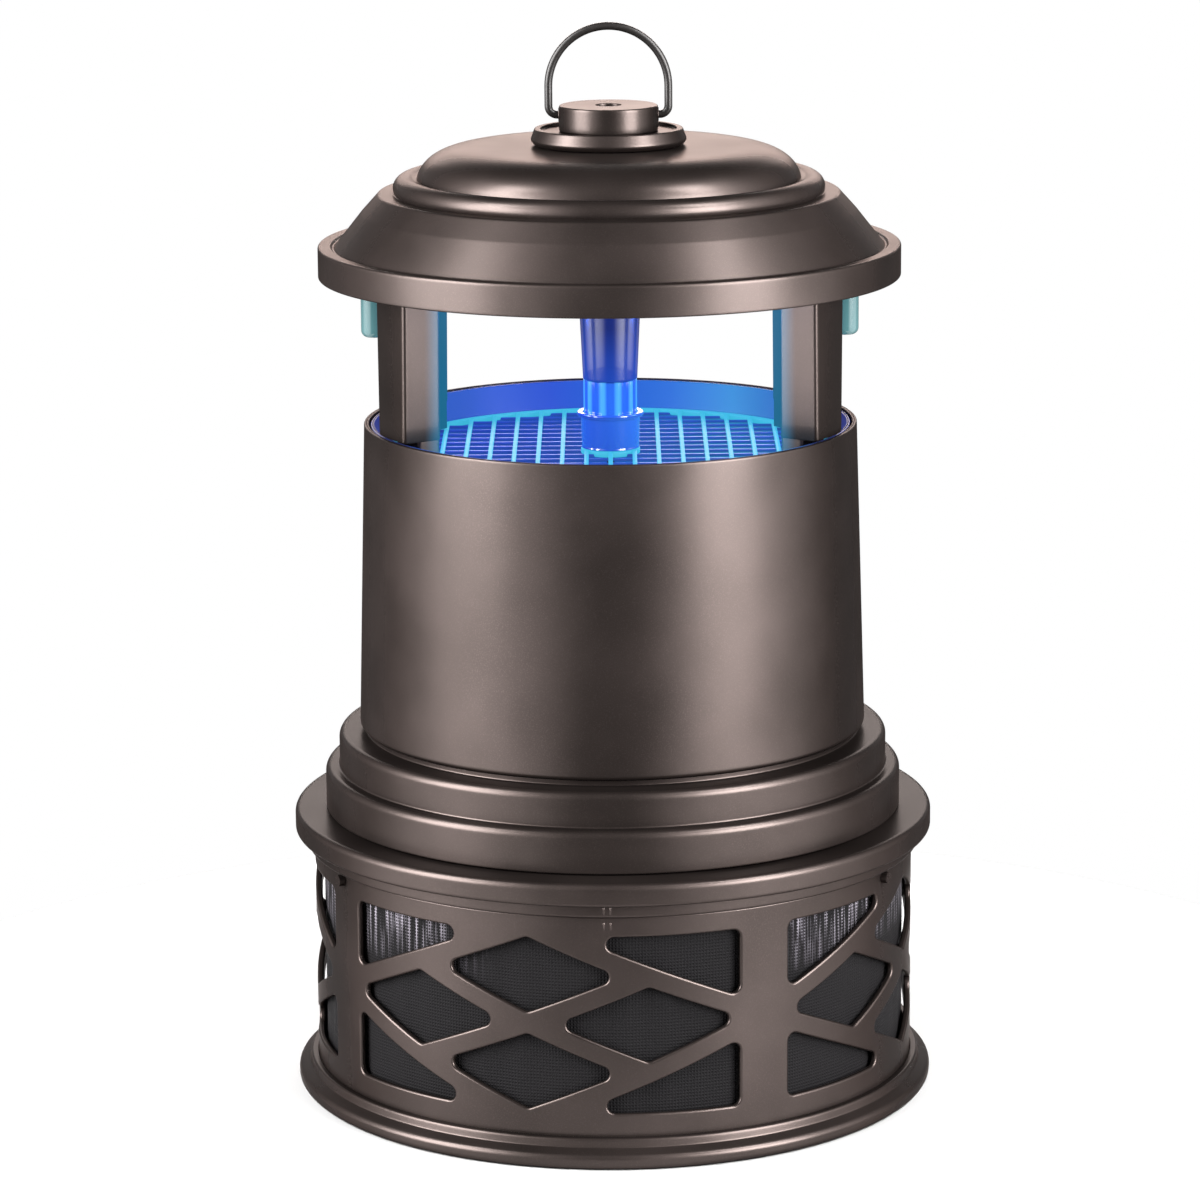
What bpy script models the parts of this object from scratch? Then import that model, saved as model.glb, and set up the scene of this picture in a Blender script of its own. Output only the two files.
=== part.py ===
# Lantern-shaped insect trap: latticed catch basket, twist lock ring, and a lift-off housing
# with fan, lamps, roof and hanging bail. Metres, +Z up, origin at the centre of the foot.
import math

import bmesh
import bpy
from mathutils import Matrix, Vector

# ---- clearances
SEAT_GAP = 0.0003        # between faces that rest on or in each other
SLIP_GAP = 0.0004        # round a piece that is pushed into another
TURN_GAP = 0.0009        # round a piece that turns inside another
BIG_STEPS = 32           # sides of the large turned pieces
INNER_STEPS = 24         # sides of the hidden and middle-sized turned pieces
SMALL_STEPS = 12         # sides of the small turned pieces

# ---- overall sizes
WALL = 0.0025            # moulded wall of the outer shells
THIN_WALL = 0.0020       # moulded wall of the inner shells

# ---- foot and catch basket
FOOT_OVERHANG = 0.0095   # bead beyond the cage
FOOT_FLAT_INSET = 0.0030 # from the bead's edge to the flat underside
FOOT_HEIGHT = 0.0093
FOOT_STEP_WIDTH = 0.0060
FOOT_STEP_HEIGHT = 0.0044
CAGE_RADIUS = 0.1435
CAGE_WALL = 0.0030
CAGE_HEIGHT = 0.1083     # from the bottom of its groove to its top edge
GROOVE_DEPTH = 0.0040
SCREEN_WALL = 0.0008
SCREEN_GAP = 0.0011      # between the screen and the cage
SCREEN_TOP_GAP = 0.0010
SEAT_WIDTH = 0.0040      # flat inside the groove on which the screen stands
FLOOR_THICK = 0.0025
FLOOR_LEDGE = 0.0050     # height of the ledge that carries the floor
FLOOR_LEDGE_WIDTH = 0.0052
DRAIN_COUNT = 4
DRAIN_RADIUS = 0.0022
DRAIN_CIRCLE = 0.1150

# ---- lattice windows of the cage
BAY_COUNT = 4
BAY_CENTRE = math.radians(-106.1)     # first bay, measured from +X
BAR_HALF_ANGLE = math.radians(5.1)
BAND_HEIGHT = 0.0100                  # plain band above the windows
WINDOW_HEIGHT = 0.0840
LATTICE_OVERRUN = 0.0040              # the lattice's points run this far past the window
STRIP_WIDTH = 0.0094
WINDOW_FILLET = 0.0036
CUT_REACH = 0.0120                    # how far a cutter runs past a wall

# ---- bayonet
PIN_ANGLES = [math.radians(a) for a in (-151.7, -28.5, 90.0)]
PIN_DROP = 0.0035        # pin axis below the cage's top edge
PIN_RADIUS = 0.0020
PIN_HEAD_RADIUS = 0.0028
PIN_HEAD_HEIGHT = 0.0028
LOCK_OVERHANG = 0.0035   # ring beyond the cage
LOCK_RING_HEIGHT = 0.0061
LOCK_WALL = 0.0026
LOCK_SPIGOT = 0.0076
LOCK_TURN = math.radians(20.0)
SLOT_MARGIN = 0.0010

# ---- flange and stepped collar
FLANGE_OVERHANG = 0.0090 # beyond the cage
FLANGE_SCREW_INSET = 0.0032
FLANGE_HEIGHT = 0.0105
FLANGE_PLATE = 0.0035
FLANGE_INNER = 0.1262
FLANGE_SPIGOT = 0.0090
FLANGE_WALL = 0.0030
COLLAR_SEAM = 0.0007
COLLAR_RADIUS = 0.1375
COLLAR_HEIGHT = 0.0198
UPPER_COLLAR_RADIUS = 0.1308
UPPER_COLLAR_HEIGHT = 0.0165
COLLAR_FOOT = 0.0030
NECK_HEIGHT = 0.0125
NECK_WALL = 0.0022
EDGE_FILLET = 0.0030

# ---- drum, funnel and grille
DRUM_SEAM = 0.0028
DRUM_RADIUS = 0.1207
DRUM_TOP_RADIUS = 0.1164
DRUM_HEIGHT = 0.1455
LEDGE_INNER = 0.1030
LEDGE_THICK = 0.0027
FUNNEL_DROP = 0.0006     # funnel lip below the drum's top edge
FUNNEL_SEAT_DEPTH = 0.0157
FUNNEL_CONE_DEPTH = 0.0122
FUNNEL_CONE_RUN = 0.0050
FUNNEL_LENGTH = 0.0602
GRILLE_THICK = 0.0027
GRILLE_RIM = 0.0034
GRILLE_PITCH = 0.01135
GRILLE_CROSS_PITCH = 0.0360           # every third cross bar
BAR_WIDTH = 0.0020
CROSS_WIDTH = 0.0013
CROSS_THICK = 0.0014
GRILLE_HUB_RADIUS = 0.0140

# ---- fan
DUCT_INNER = 0.0985
DUCT_BOTTOM = 0.1300
DUCT_FLANGE_RADIUS = 0.1140
DUCT_FLANGE_THICK = 0.0030
DUCT_TOP_GAP = 0.0010
BRACKET_DROP = 0.0040
BRACKET_HEIGHT = 0.0100
BRACKET_WALL = 0.0030
ARM_WIDTH = 0.0060
ARM_COUNT = 3
MOTOR_RADIUS = 0.0234
MOTOR_ABOVE = 0.0300
MOTOR_BELOW = 0.0270
MOTOR_LIP = 0.0028
SHAFT_RADIUS = 0.0030
SHAFT_SOCKET = 0.0120
ROTOR_GAP = 0.0060
ROTOR_HEIGHT = 0.0220
ROTOR_HUB_RADIUS = 0.0260
ROTOR_TIP_GAP = 0.0045
BLADE_COUNT = 5
BLADE_HALF_ANGLE = math.radians(24.0)
BLADE_THICK = 0.0022
NUT_RADIUS = 0.0066
NUT_HEIGHT = 0.0042

# ---- column, posts and lamps
CUP_RADIUS = 0.0139
CUP_RIM_RADIUS = 0.0157
CUP_HEIGHT = 0.0172
CUP_RIM_HEIGHT = 0.0015
CUP_FLOOR = 0.0030
SLEEVE_HEIGHT = 0.0289
SLEEVE_WALL = 0.0016
TUBE_LOW_RADIUS = 0.0128
TUBE_TOP_RADIUS = 0.0152
LEAD_RADIUS = 0.0018
LEAD_HOLE_RADIUS = 0.0040
POST_OUTER = 0.1140
POST_INNER = 0.0940
POST_AZIMUTH = math.radians(26.35)    # from the X axis
POST_LOW_HALF = math.radians(7.35)
POST_TOP_HALF = math.radians(8.00)
ENTRY_HEIGHT = 0.0717                 # from the drum's top edge to the pan
FOOT_INSET = 0.0006                   # post foot inside the faces of its post
LAMP_X = 0.1108
LAMP_RADIUS = 0.0060
LAMP_SPACING = 0.0126
LAMP_LENGTH = 0.0281
LAMP_BASE_X = 0.0160
LAMP_BASE_Y = 0.0310
LAMP_BASE_HEIGHT = 0.0100
LAMP_BASE_DROP = 0.0022               # base below the pan's underside
SOCKET_WALL = 0.0018
SOCKET_TOP = 0.0018

# ---- roof
PAN_RADIUS = 0.1337
PAN_THICK = 0.0020
RIM_RADIUS = 0.1367
RIM_DROP = 0.0021                     # rim below the pan's underside
RIM_HEIGHT = 0.0149
TROUGH_RADIUS = 0.1283
SKIRT_TOP_RADIUS = 0.1080
SKIRT_RISE = 0.0239
SKIRT_HOLLOW = 0.0006
BEAD_OUTER = 0.1011
BEAD_TOP_RADIUS = 0.0935
BEAD_RISE = 0.0080
BEAD_FALL = ((0.0985, 0.0014), (0.1011, 0.0050))  # radius, and drop below the bead's top
VALLEY_RADIUS = 0.0906
DOME_RISE = 0.0215
DOME_FLAT_RADIUS = 0.0600
DOME_FALL = ((0.0600, 0.0004), (0.0740, 0.0029), (0.0840, 0.0087))  # radius, and drop below the crown
VALLEY_DEPTH = 0.0023  # below the bead's top
DOME_LINING = ((0.0840, 0.0142), (0.0720, 0.0062), (0.0600, 0.0035))  # the same, for the inside
CROWN_WALL = 0.0030
RIM_CHAMFER = 0.0004
ROOF_CORNER = 0.0010
BOLT_RADIUS = 0.0038
BOLT_HEAD_RADIUS = 0.0055
BOLT_LENGTH = 0.0410
GASKET_RADIUS = 0.0270
GASKET_THICK = 0.0014

# ---- knob and bail
KNOB_BASE_RADIUS = 0.0366
KNOB_BASE_TOP_RADIUS = 0.0350
KNOB_BASE_HEIGHT = 0.0076
KNOB_RADIUS = 0.0231
KNOB_HEIGHT = 0.0118
KNOB_SINK = 0.0015        # how deep the knob sits in its base
KNOB_DISH_EDGE = 0.0032   # width of the base's raised edge
KNOB_RECESS = 0.0018
WIRE_RADIUS = 0.00185
BAIL_HALF_WIDTH = 0.02795
BAIL_PIVOT = 0.0073                   # pivot above the underside of the knob
BAIL_BEND = 0.0040
BAIL_STRAIGHT = 0.0092
BAIL_GRIP = 0.0050                    # length of wire inside the knob

# ---- electrics under the roof
BALLAST_SIZE = (0.060, 0.044, 0.020)
BALLAST_Y = 0.0480
BOARD_SIZE = (0.070, 0.036, 0.0016)
BOARD_Y = -0.0500
STANDOFF_RADIUS = 0.0035
STANDOFF_HEIGHT = 0.0047
STANDOFF_X = 0.0280
GLAND_Y = 0.1180
GLAND_RADIUS = 0.0065
GLAND_LENGTH = 0.0100
GLAND_FLANGE = 0.0025
GLAND_BORE = 0.0035

# ---- screws
SCREW_RADIUS = 0.0017
SCREW_HOLE = 0.0021
SCREW_HEAD_RADIUS = 0.0030
SCREW_HEAD_HEIGHT = 0.0020
POST_SCREW_LENGTH = 0.0120
POST_SCREW_CIRCLE = 0.1040
FLANGE_SCREW_ANGLES = [math.radians(a) for a in (45, 135, 225, 315)]
DUCT_SCREW_CIRCLE = 0.1085
DUCT_SCREW_ANGLES = [math.radians(a) for a in (30, 150, 270)]

# ---- levels and radii that follow from the sizes above
FOOT_RADIUS = CAGE_RADIUS + FOOT_OVERHANG
FOOT_FLAT_RADIUS = FOOT_RADIUS - FOOT_FLAT_INSET
LOCK_RING_RADIUS = CAGE_RADIUS + LOCK_OVERHANG
FLANGE_RADIUS = CAGE_RADIUS + FLANGE_OVERHANG
GROOVE_OUTER = CAGE_RADIUS + SEAT_GAP
CAGE_INNER = CAGE_RADIUS - CAGE_WALL
GROOVE_INNER = CAGE_INNER - SEAT_GAP
SEAT_INNER = GROOVE_INNER - SEAT_WIDTH
FOOT_TOP = FOOT_HEIGHT + FOOT_STEP_HEIGHT
CAGE_BOTTOM = FOOT_TOP - GROOVE_DEPTH + SEAT_GAP
CAGE_TOP = CAGE_BOTTOM + CAGE_HEIGHT
WINDOW_TOP = CAGE_TOP - BAND_HEIGHT
WINDOW_MID = WINDOW_TOP - WINDOW_HEIGHT / 2
SCREEN_OUTER = CAGE_INNER - SCREEN_GAP
LOCK_BOTTOM = CAGE_TOP + SEAT_GAP
LOCK_TOP = LOCK_BOTTOM + LOCK_RING_HEIGHT
LOCK_SPIGOT_RADIUS = CAGE_INNER - TURN_GAP
LOCK_INNER = LOCK_SPIGOT_RADIUS - LOCK_WALL
SPIGOT_BOTTOM = LOCK_BOTTOM - LOCK_SPIGOT
SCREEN_TOP = SPIGOT_BOTTOM - SCREEN_TOP_GAP
PIN_Z = CAGE_TOP - PIN_DROP
FLANGE_BOTTOM = LOCK_TOP + SEAT_GAP
FLANGE_TOP = FLANGE_BOTTOM + FLANGE_HEIGHT
PLATE_BOTTOM = FLANGE_TOP - FLANGE_PLATE
FLANGE_SPIGOT_RADIUS = LOCK_INNER - 2 * SEAT_GAP
FLANGE_SCREW_CIRCLE = FLANGE_INNER + FLANGE_SCREW_INSET
COLLAR_BOTTOM = FLANGE_TOP + COLLAR_SEAM
COLLAR_SHOULDER = COLLAR_BOTTOM + COLLAR_HEIGHT
COLLAR_TOP = COLLAR_SHOULDER + UPPER_COLLAR_HEIGHT
NECK_TOP = COLLAR_TOP + NECK_HEIGHT
DRUM_BOTTOM = COLLAR_TOP + DRUM_SEAM
DRUM_TOP = DRUM_BOTTOM + DRUM_HEIGHT
DRUM_INNER = DRUM_RADIUS - WALL
DRUM_TOP_INNER = DRUM_TOP_RADIUS - WALL
NECK_RADIUS = DRUM_INNER - SLIP_GAP
LEDGE_BOTTOM = NECK_TOP + SEAT_GAP
LEDGE_TOP = LEDGE_BOTTOM + LEDGE_THICK
FUNNEL_TOP = DRUM_TOP - FUNNEL_DROP
FUNNEL_RADIUS = DRUM_TOP_INNER - SLIP_GAP
FUNNEL_LIP_INNER = FUNNEL_RADIUS - THIN_WALL
FUNNEL_SEAT_RADIUS = FUNNEL_LIP_INNER - FUNNEL_CONE_RUN
FUNNEL_SEAT = FUNNEL_TOP - FUNNEL_SEAT_DEPTH
FUNNEL_BOTTOM = FUNNEL_TOP - FUNNEL_LENGTH
GRILLE_RADIUS = FUNNEL_SEAT_RADIUS - SLIP_GAP
GRILLE_BOTTOM = FUNNEL_SEAT + SEAT_GAP
GRILLE_TOP = GRILLE_BOTTOM + GRILLE_THICK
DUCT_TOP = FUNNEL_BOTTOM - DUCT_TOP_GAP
DUCT_OUTER = DUCT_INNER + WALL
DUCT_FLANGE_BOTTOM = LEDGE_TOP + SEAT_GAP
DUCT_FLANGE_TOP = DUCT_FLANGE_BOTTOM + DUCT_FLANGE_THICK
BRACKET_TOP = DUCT_TOP - BRACKET_DROP
BRACKET_BOTTOM = BRACKET_TOP - BRACKET_HEIGHT
BRACKET_RADIUS = DUCT_INNER - SLIP_GAP
MOTOR_TOP = BRACKET_TOP + MOTOR_ABOVE
MOTOR_BOTTOM = BRACKET_TOP - MOTOR_BELOW
ROTOR_TOP = MOTOR_BOTTOM - ROTOR_GAP
ROTOR_BOTTOM = ROTOR_TOP - ROTOR_HEIGHT
ROTOR_RADIUS = DUCT_INNER - ROTOR_TIP_GAP
CUP_BOTTOM = GRILLE_TOP + SEAT_GAP
CUP_TOP = CUP_BOTTOM + CUP_HEIGHT
SLEEVE_BOTTOM = CUP_BOTTOM + CUP_FLOOR + SEAT_GAP
SLEEVE_TOP = SLEEVE_BOTTOM + SLEEVE_HEIGHT
SLEEVE_RADIUS = TUBE_LOW_RADIUS - SEAT_GAP / 2
PAN_BOTTOM = DRUM_TOP + ENTRY_HEIGHT
PAN_TOP = PAN_BOTTOM + PAN_THICK
ENTRY_TOP = PAN_BOTTOM - SEAT_GAP
RIM_BOTTOM = PAN_BOTTOM - RIM_DROP
RIM_TOP = RIM_BOTTOM + RIM_HEIGHT
RIM_INNER = PAN_RADIUS + SEAT_GAP
SKIRT_BOTTOM = RIM_TOP + RIM_CHAMFER
SKIRT_TOP = SKIRT_BOTTOM + SKIRT_RISE
BEAD_TOP = SKIRT_TOP + BEAD_RISE
ROOF_TOP = SKIRT_TOP + DOME_RISE
KNOB_BASE_BOTTOM = ROOF_TOP + SEAT_GAP
KNOB_BASE_TOP = KNOB_BASE_BOTTOM + KNOB_BASE_HEIGHT
KNOB_BOTTOM = KNOB_BASE_TOP - KNOB_SINK + SEAT_GAP
KNOB_TOP = KNOB_BOTTOM + KNOB_HEIGHT
PIVOT_Z = KNOB_BOTTOM + BAIL_PIVOT
LAMP_BASE_BOTTOM = PAN_BOTTOM - LAMP_BASE_DROP
LAMP_BASE_TOP = LAMP_BASE_BOTTOM + LAMP_BASE_HEIGHT
POST_AZIMUTHS = [POST_AZIMUTH, math.pi - POST_AZIMUTH, math.pi + POST_AZIMUTH, -POST_AZIMUTH]

BRONZE = ("bronze_enamel", "6B625E", 0.38, 0.55)
SEAM_BLACK = ("black_moulding", "1B1A1B", 0.55, 0.0)
FINISHES = {
    "bronze": BRONZE,
    "black": SEAM_BLACK,
    "screen": ("screen_cloth", "101011", 0.70, 0.0),
    "steel": ("zinc_steel", "A9ABAD", 0.35, 1.0),
    "wire": ("dark_wire", "2E2A29", 0.35, 0.9),
    "blue": ("lit_blue_moulding", "2F55D8", 0.35, 0.0),
    "clear": ("clear_sleeve", "8FD8F0", 0.10, 0.0),
    "lamp": ("lamp_glass", "D8F2F0", 0.15, 0.0),
    "cap": ("white_plastic", "E4E4E0", 0.45, 0.0),
    "board": ("circuit_board", "23623B", 0.50, 0.0),
    "rubber": ("black_rubber", "181818", 0.85, 0.0),
    "fan": ("dark_nylon", "2A2C30", 0.50, 0.0),
}


def clear_scene():
    for item in list(bpy.data.objects):
        bpy.data.objects.remove(item, do_unlink=True)


def linear_colour(hex_text):
    """Linear RGBA of an sRGB hex colour."""
    parts = [int(hex_text[i:i + 2], 16) / 255 for i in (0, 2, 4)]
    return [c / 12.92 if c <= 0.04045 else ((c + 0.055) / 1.055) ** 2.4 for c in parts] + [1.0]


def finish(kind):
    """The material of one kind, made once."""
    name, colour, rough, metal = FINISHES[kind]
    material = bpy.data.materials.get(name)
    if material is None:
        material = bpy.data.materials.new(name)
        material.use_nodes = True
        shader = material.node_tree.nodes["Principled BSDF"]
        shader.inputs["Base Color"].default_value = linear_colour(colour)
        shader.inputs["Roughness"].default_value = rough
        shader.inputs["Metallic"].default_value = metal
    return material


def add_object(name, data):
    item = bpy.data.objects.new(name, data)
    bpy.context.scene.collection.objects.link(item)
    return item


def add_part(name, shape, kind, place=(0, 0, 0)):
    """A named sub-part from a bmesh, with its origin at place."""
    bmesh.ops.translate(shape, verts=shape.verts, vec=-Vector(place))
    bmesh.ops.recalc_face_normals(shape, faces=shape.faces)
    mesh = bpy.data.meshes.new(name)
    shape.to_mesh(mesh)
    shape.free()
    mesh.shade_smooth()
    mesh.set_sharp_from_angle(angle=math.radians(30))
    mesh.materials.append(finish(kind))
    item = add_object(name, mesh)
    item.location = place
    return item


def boolean(part, shape, operation):
    """Cut or join a helper shape; the helper stays hidden beside its part."""
    helper = add_part(part.name + "_" + operation.lower(), shape, "steel", part.location)
    helper.hide_render = True
    helper.display_type = "WIRE"
    step = part.modifiers.new(operation.lower(), "BOOLEAN")
    step.operation = operation
    step.solver = "EXACT"
    step.use_self = operation == "UNION"
    step.object = helper


def round_corners(corners, steps=2):
    """Closed outline from (x, y, fillet radius) corners, each fillet an arc tangent to both sides."""
    points = []
    for index, (x, y, radius) in enumerate(corners):
        here = Vector((x, y))
        if radius <= 0:
            points.append(here)
            continue
        back = (Vector(corners[index - 1][:2]) - here).normalized()
        ahead = (Vector(corners[(index + 1) % len(corners)][:2]) - here).normalized()
        half = math.acos(max(-1.0, min(1.0, back.dot(ahead)))) / 2
        centre = here + (back + ahead).normalized() * radius / math.sin(half)
        first = here + back * radius / math.tan(half) - centre
        last = here + ahead * radius / math.tan(half) - centre
        turn = math.atan2(first.x * last.y - first.y * last.x, first.dot(last))
        for step in range(steps + 1):
            arm = Matrix.Rotation(turn * step / steps, 2) @ first
            points.append(centre + arm)
    return points


def lathe(outline, steps=BIG_STEPS, shape=None):
    """Turn an (r, z) outline round the Z axis; an outline that starts and ends on the axis is left open."""
    new = bmesh.new()
    verts = [new.verts.new((point[0], 0, point[1])) for point in outline]
    on_axis = outline[0][0] == 0 and outline[-1][0] == 0
    for index in range(1 if on_axis else 0, len(verts)):
        new.edges.new((verts[index - 1], verts[index]))
    bmesh.ops.spin(new, geom=new.verts[:] + new.edges[:], cent=(0, 0, 0), axis=(0, 0, 1),
                   angle=math.tau, steps=steps, use_merge=True)
    bmesh.ops.remove_doubles(new, verts=new.verts, dist=1e-6)
    bmesh.ops.dissolve_degenerate(new, dist=1e-7, edges=new.edges)
    return merge(shape, new)


def merge(shape, new):
    """Add one bmesh to another and return the sum."""
    bmesh.ops.recalc_face_normals(new, faces=new.faces)
    if shape is None:
        return new
    scratch = bpy.data.meshes.new("scratch")
    new.to_mesh(scratch)
    new.free()
    shape.from_mesh(scratch)
    bpy.data.meshes.remove(scratch)
    return shape


def box(low, high, shape=None):
    new = bmesh.new()
    size = Vector(high) - Vector(low)
    middle = (Vector(high) + Vector(low)) / 2
    bmesh.ops.create_cube(new, size=1, matrix=Matrix.Translation(middle) @ Matrix.Diagonal((*size, 1)))
    return merge(shape, new)


def rod(start, end, radius, shape=None, steps=SMALL_STEPS):
    """A closed cylinder between two points."""
    new = bmesh.new()
    start = Vector(start)
    run = Vector(end) - start
    turn = run.to_track_quat("Z", "Y").to_matrix().to_4x4()
    bmesh.ops.create_cone(new, cap_ends=True, segments=steps, radius1=radius, radius2=radius,
                          depth=run.length, matrix=Matrix.Translation(start + run / 2) @ turn)
    return merge(shape, new)


def ring_outline(inner, outer, bottom, top):
    return [(outer, top), (outer, bottom), (inner, bottom), (inner, top)]


def around(radius, angle, z=0.0):
    return Vector((radius * math.cos(angle), radius * math.sin(angle), z))


def wrapped_prism(outline, inner, outer, shape=None):
    """A radial prism over an (angle, z) outline."""
    new = bmesh.new()
    loops = [[new.verts.new(around(radius, angle, z)) for angle, z in outline] for radius in (inner, outer)]
    new.faces.new(loops[0])
    new.faces.new(loops[1])
    for index in range(len(outline)):
        new.faces.new((loops[0][index - 1], loops[0][index], loops[1][index], loops[1][index - 1]))
    bmesh.ops.triangulate(new, faces=new.faces[:])
    return merge(shape, new)


def sector_prism(inner, outer, angle, low_half, top_half, bottom, top, shape=None):
    """A block between two radii and two levels, with its sides leaning from low_half to top_half."""
    new = bmesh.new()
    loops = []
    for z, half in ((bottom, low_half), (top, top_half)):
        arc = [angle + half * step for step in (-1, -0.5, 0, 0.5, 1)]
        points = [around(outer, a, z) for a in arc] + [around(inner, a, z) for a in reversed(arc)]
        loops.append([new.verts.new(point) for point in points])
    new.faces.new(loops[0])
    new.faces.new(loops[1])
    for index in range(len(loops[0])):
        new.faces.new((loops[0][index - 1], loops[0][index], loops[1][index], loops[1][index - 1]))
    return merge(shape, new)


# ---- catch basket


def make_foot():
    """Beaded foot with a groove for the cage, a seat for the screen and a ledge for the floor."""
    ledge_inner = SEAT_INNER - FLOOR_LEDGE_WIDTH
    outline = round_corners([
        (FOOT_FLAT_RADIUS, 0, 0),
        (FOOT_RADIUS, FOOT_HEIGHT * 0.30, 0.002),
        (FOOT_RADIUS, FOOT_HEIGHT * 0.72, 0.002),
        (FOOT_FLAT_RADIUS, FOOT_HEIGHT, 0),
        (FOOT_RADIUS - FOOT_STEP_WIDTH, FOOT_HEIGHT, 0),
        (FOOT_RADIUS - FOOT_STEP_WIDTH, FOOT_TOP, 0),
        (GROOVE_OUTER, FOOT_TOP, 0),
        (GROOVE_OUTER, FOOT_TOP - GROOVE_DEPTH, 0),
        (GROOVE_INNER, FOOT_TOP - GROOVE_DEPTH, 0),
        (GROOVE_INNER, FOOT_TOP, 0),
        (SEAT_INNER, FOOT_TOP, 0),
        (SEAT_INNER, FLOOR_LEDGE, 0),
        (ledge_inner, FLOOR_LEDGE, 0),
        (ledge_inner, 0, 0),
    ])
    add_part("base_ring", lathe(outline), "bronze")


def make_floor():
    radius = SEAT_INNER - SLIP_GAP
    bottom = FLOOR_LEDGE + SEAT_GAP
    outline = [(0, bottom + FLOOR_THICK), (radius, bottom + FLOOR_THICK), (radius, bottom), (0, bottom)]
    floor = add_part("basket_floor", lathe(outline), "black")
    drains = None
    for index in range(DRAIN_COUNT):
        spot = around(DRAIN_CIRCLE, math.tau * index / DRAIN_COUNT)
        drains = rod(spot, spot + Vector((0, 0, 2 * FLOOR_LEDGE + FLOOR_THICK)), DRAIN_RADIUS, drains, 8)
    boolean(floor, drains, "DIFFERENCE")


def bay_outlines():
    """Window outlines of one bay as (arc length, z) corners about the bay's centre: four diamonds
    inside a rhombus of strips that reaches from bar to bar, and a triangle in each corner."""
    reach = CAGE_RADIUS * math.pi / BAY_COUNT
    rise = WINDOW_HEIGHT / 2 + LATTICE_OVERRUN
    slope = math.atan2(rise, reach)
    half = STRIP_WIDTH / 2
    wide = reach / 2 - half / math.sin(slope)
    tall = rise / 2 - half / math.cos(slope)
    outlines = []
    for x, z in ((0, rise / 2), (0, -rise / 2), (-reach / 2, 0), (reach / 2, 0)):
        outlines.append([(x - wide, z), (x, z - tall), (x + wide, z), (x, z + tall)])
    edge = CAGE_RADIUS * (math.pi / BAY_COUNT - BAR_HALF_ANGLE)
    top = WINDOW_HEIGHT / 2
    lift = half / math.cos(slope)
    low = rise * (1 - edge / reach) + lift
    inner = reach * (1 - (top - lift) / rise)
    for side in (-1, 1):
        for up in (-1, 1):
            outlines.append([(side * edge, up * top), (side * edge, up * low), (side * inner, up * top)])
    return outlines


def make_cage():
    outline = ring_outline(CAGE_INNER, CAGE_RADIUS, CAGE_BOTTOM, CAGE_TOP)
    cage = add_part("basket_cage", lathe(outline), "bronze")
    cutters = None
    for bay in range(BAY_COUNT):
        centre = BAY_CENTRE + math.tau * bay / BAY_COUNT
        for corners in bay_outlines():
            rounded = round_corners([(x, z, WINDOW_FILLET) for x, z in corners], steps=1)
            wrapped = [(centre + x / CAGE_RADIUS, WINDOW_MID + z) for x, z in rounded]
            cutters = wrapped_prism(wrapped, CAGE_INNER - CUT_REACH, CAGE_RADIUS + CUT_REACH, cutters)
    for angle in PIN_ANGLES:
        start, end = (around(radius, angle, PIN_Z) for radius in (CAGE_INNER - CUT_REACH, CAGE_RADIUS + CUT_REACH))
        cutters = rod(start, end, PIN_RADIUS + SLIP_GAP, cutters, 10)
    boolean(cage, cutters, "DIFFERENCE")


def make_screen():
    outline = ring_outline(SCREEN_OUTER - SCREEN_WALL, SCREEN_OUTER, FOOT_TOP + SEAT_GAP, SCREEN_TOP)
    add_part("mesh_screen", lathe(outline), "screen")


def make_lock_pins():
    """Bayonet pins: the head stands outside the cage, the shank reaches into the lock ring's slot."""
    for number, angle in enumerate(PIN_ANGLES, 1):
        head = CAGE_RADIUS + SEAT_GAP
        outline = [
            (0, 0), (PIN_RADIUS, 0), (PIN_RADIUS, head - LOCK_INNER - SEAT_GAP),
            (PIN_HEAD_RADIUS, head - LOCK_INNER - SEAT_GAP),
            (PIN_HEAD_RADIUS, head - LOCK_INNER - SEAT_GAP + PIN_HEAD_HEIGHT),
            (0, head - LOCK_INNER - SEAT_GAP + PIN_HEAD_HEIGHT),
        ]
        shape = lathe(outline, 10)
        turn = Matrix.Rotation(angle, 4, "Z") @ Matrix.Rotation(math.pi / 2, 4, "Y")
        start = Matrix.Translation(around(LOCK_INNER + SEAT_GAP, angle, PIN_Z))
        bmesh.ops.transform(shape, matrix=start @ turn, verts=shape.verts)
        add_part("lock_pin_%d" % number, shape, "bronze", around(LOCK_INNER + SEAT_GAP, angle, PIN_Z))


def make_lock_ring():
    """Twist ring: its spigot sits in the cage's mouth and is slotted for the pins."""
    outline = [
        (LOCK_RING_RADIUS, LOCK_TOP), (LOCK_RING_RADIUS, LOCK_BOTTOM),
        (LOCK_SPIGOT_RADIUS, LOCK_BOTTOM), (LOCK_SPIGOT_RADIUS, SPIGOT_BOTTOM),
        (LOCK_INNER, SPIGOT_BOTTOM), (LOCK_INNER, LOCK_TOP),
    ]
    ring = add_part("lock_ring", lathe(outline), "bronze")
    slots = None
    margin = (PIN_RADIUS + SLOT_MARGIN) / LOCK_INNER
    low = PIN_Z - PIN_RADIUS - SLIP_GAP
    high = PIN_Z + PIN_RADIUS + SLIP_GAP
    for angle in PIN_ANGLES:
        first = angle - LOCK_TURN - margin
        last = angle + margin
        arc = [first + (last - first) * step / 4 for step in range(5)]
        outline = [(a, low) for a in arc] + [(a, high) for a in reversed(arc)]
        slots = wrapped_prism(outline, LOCK_INNER - LOCK_WALL, LOCK_SPIGOT_RADIUS + LOCK_WALL, slots)
    boolean(ring, slots, "DIFFERENCE")


# ---- housing shells


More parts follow.
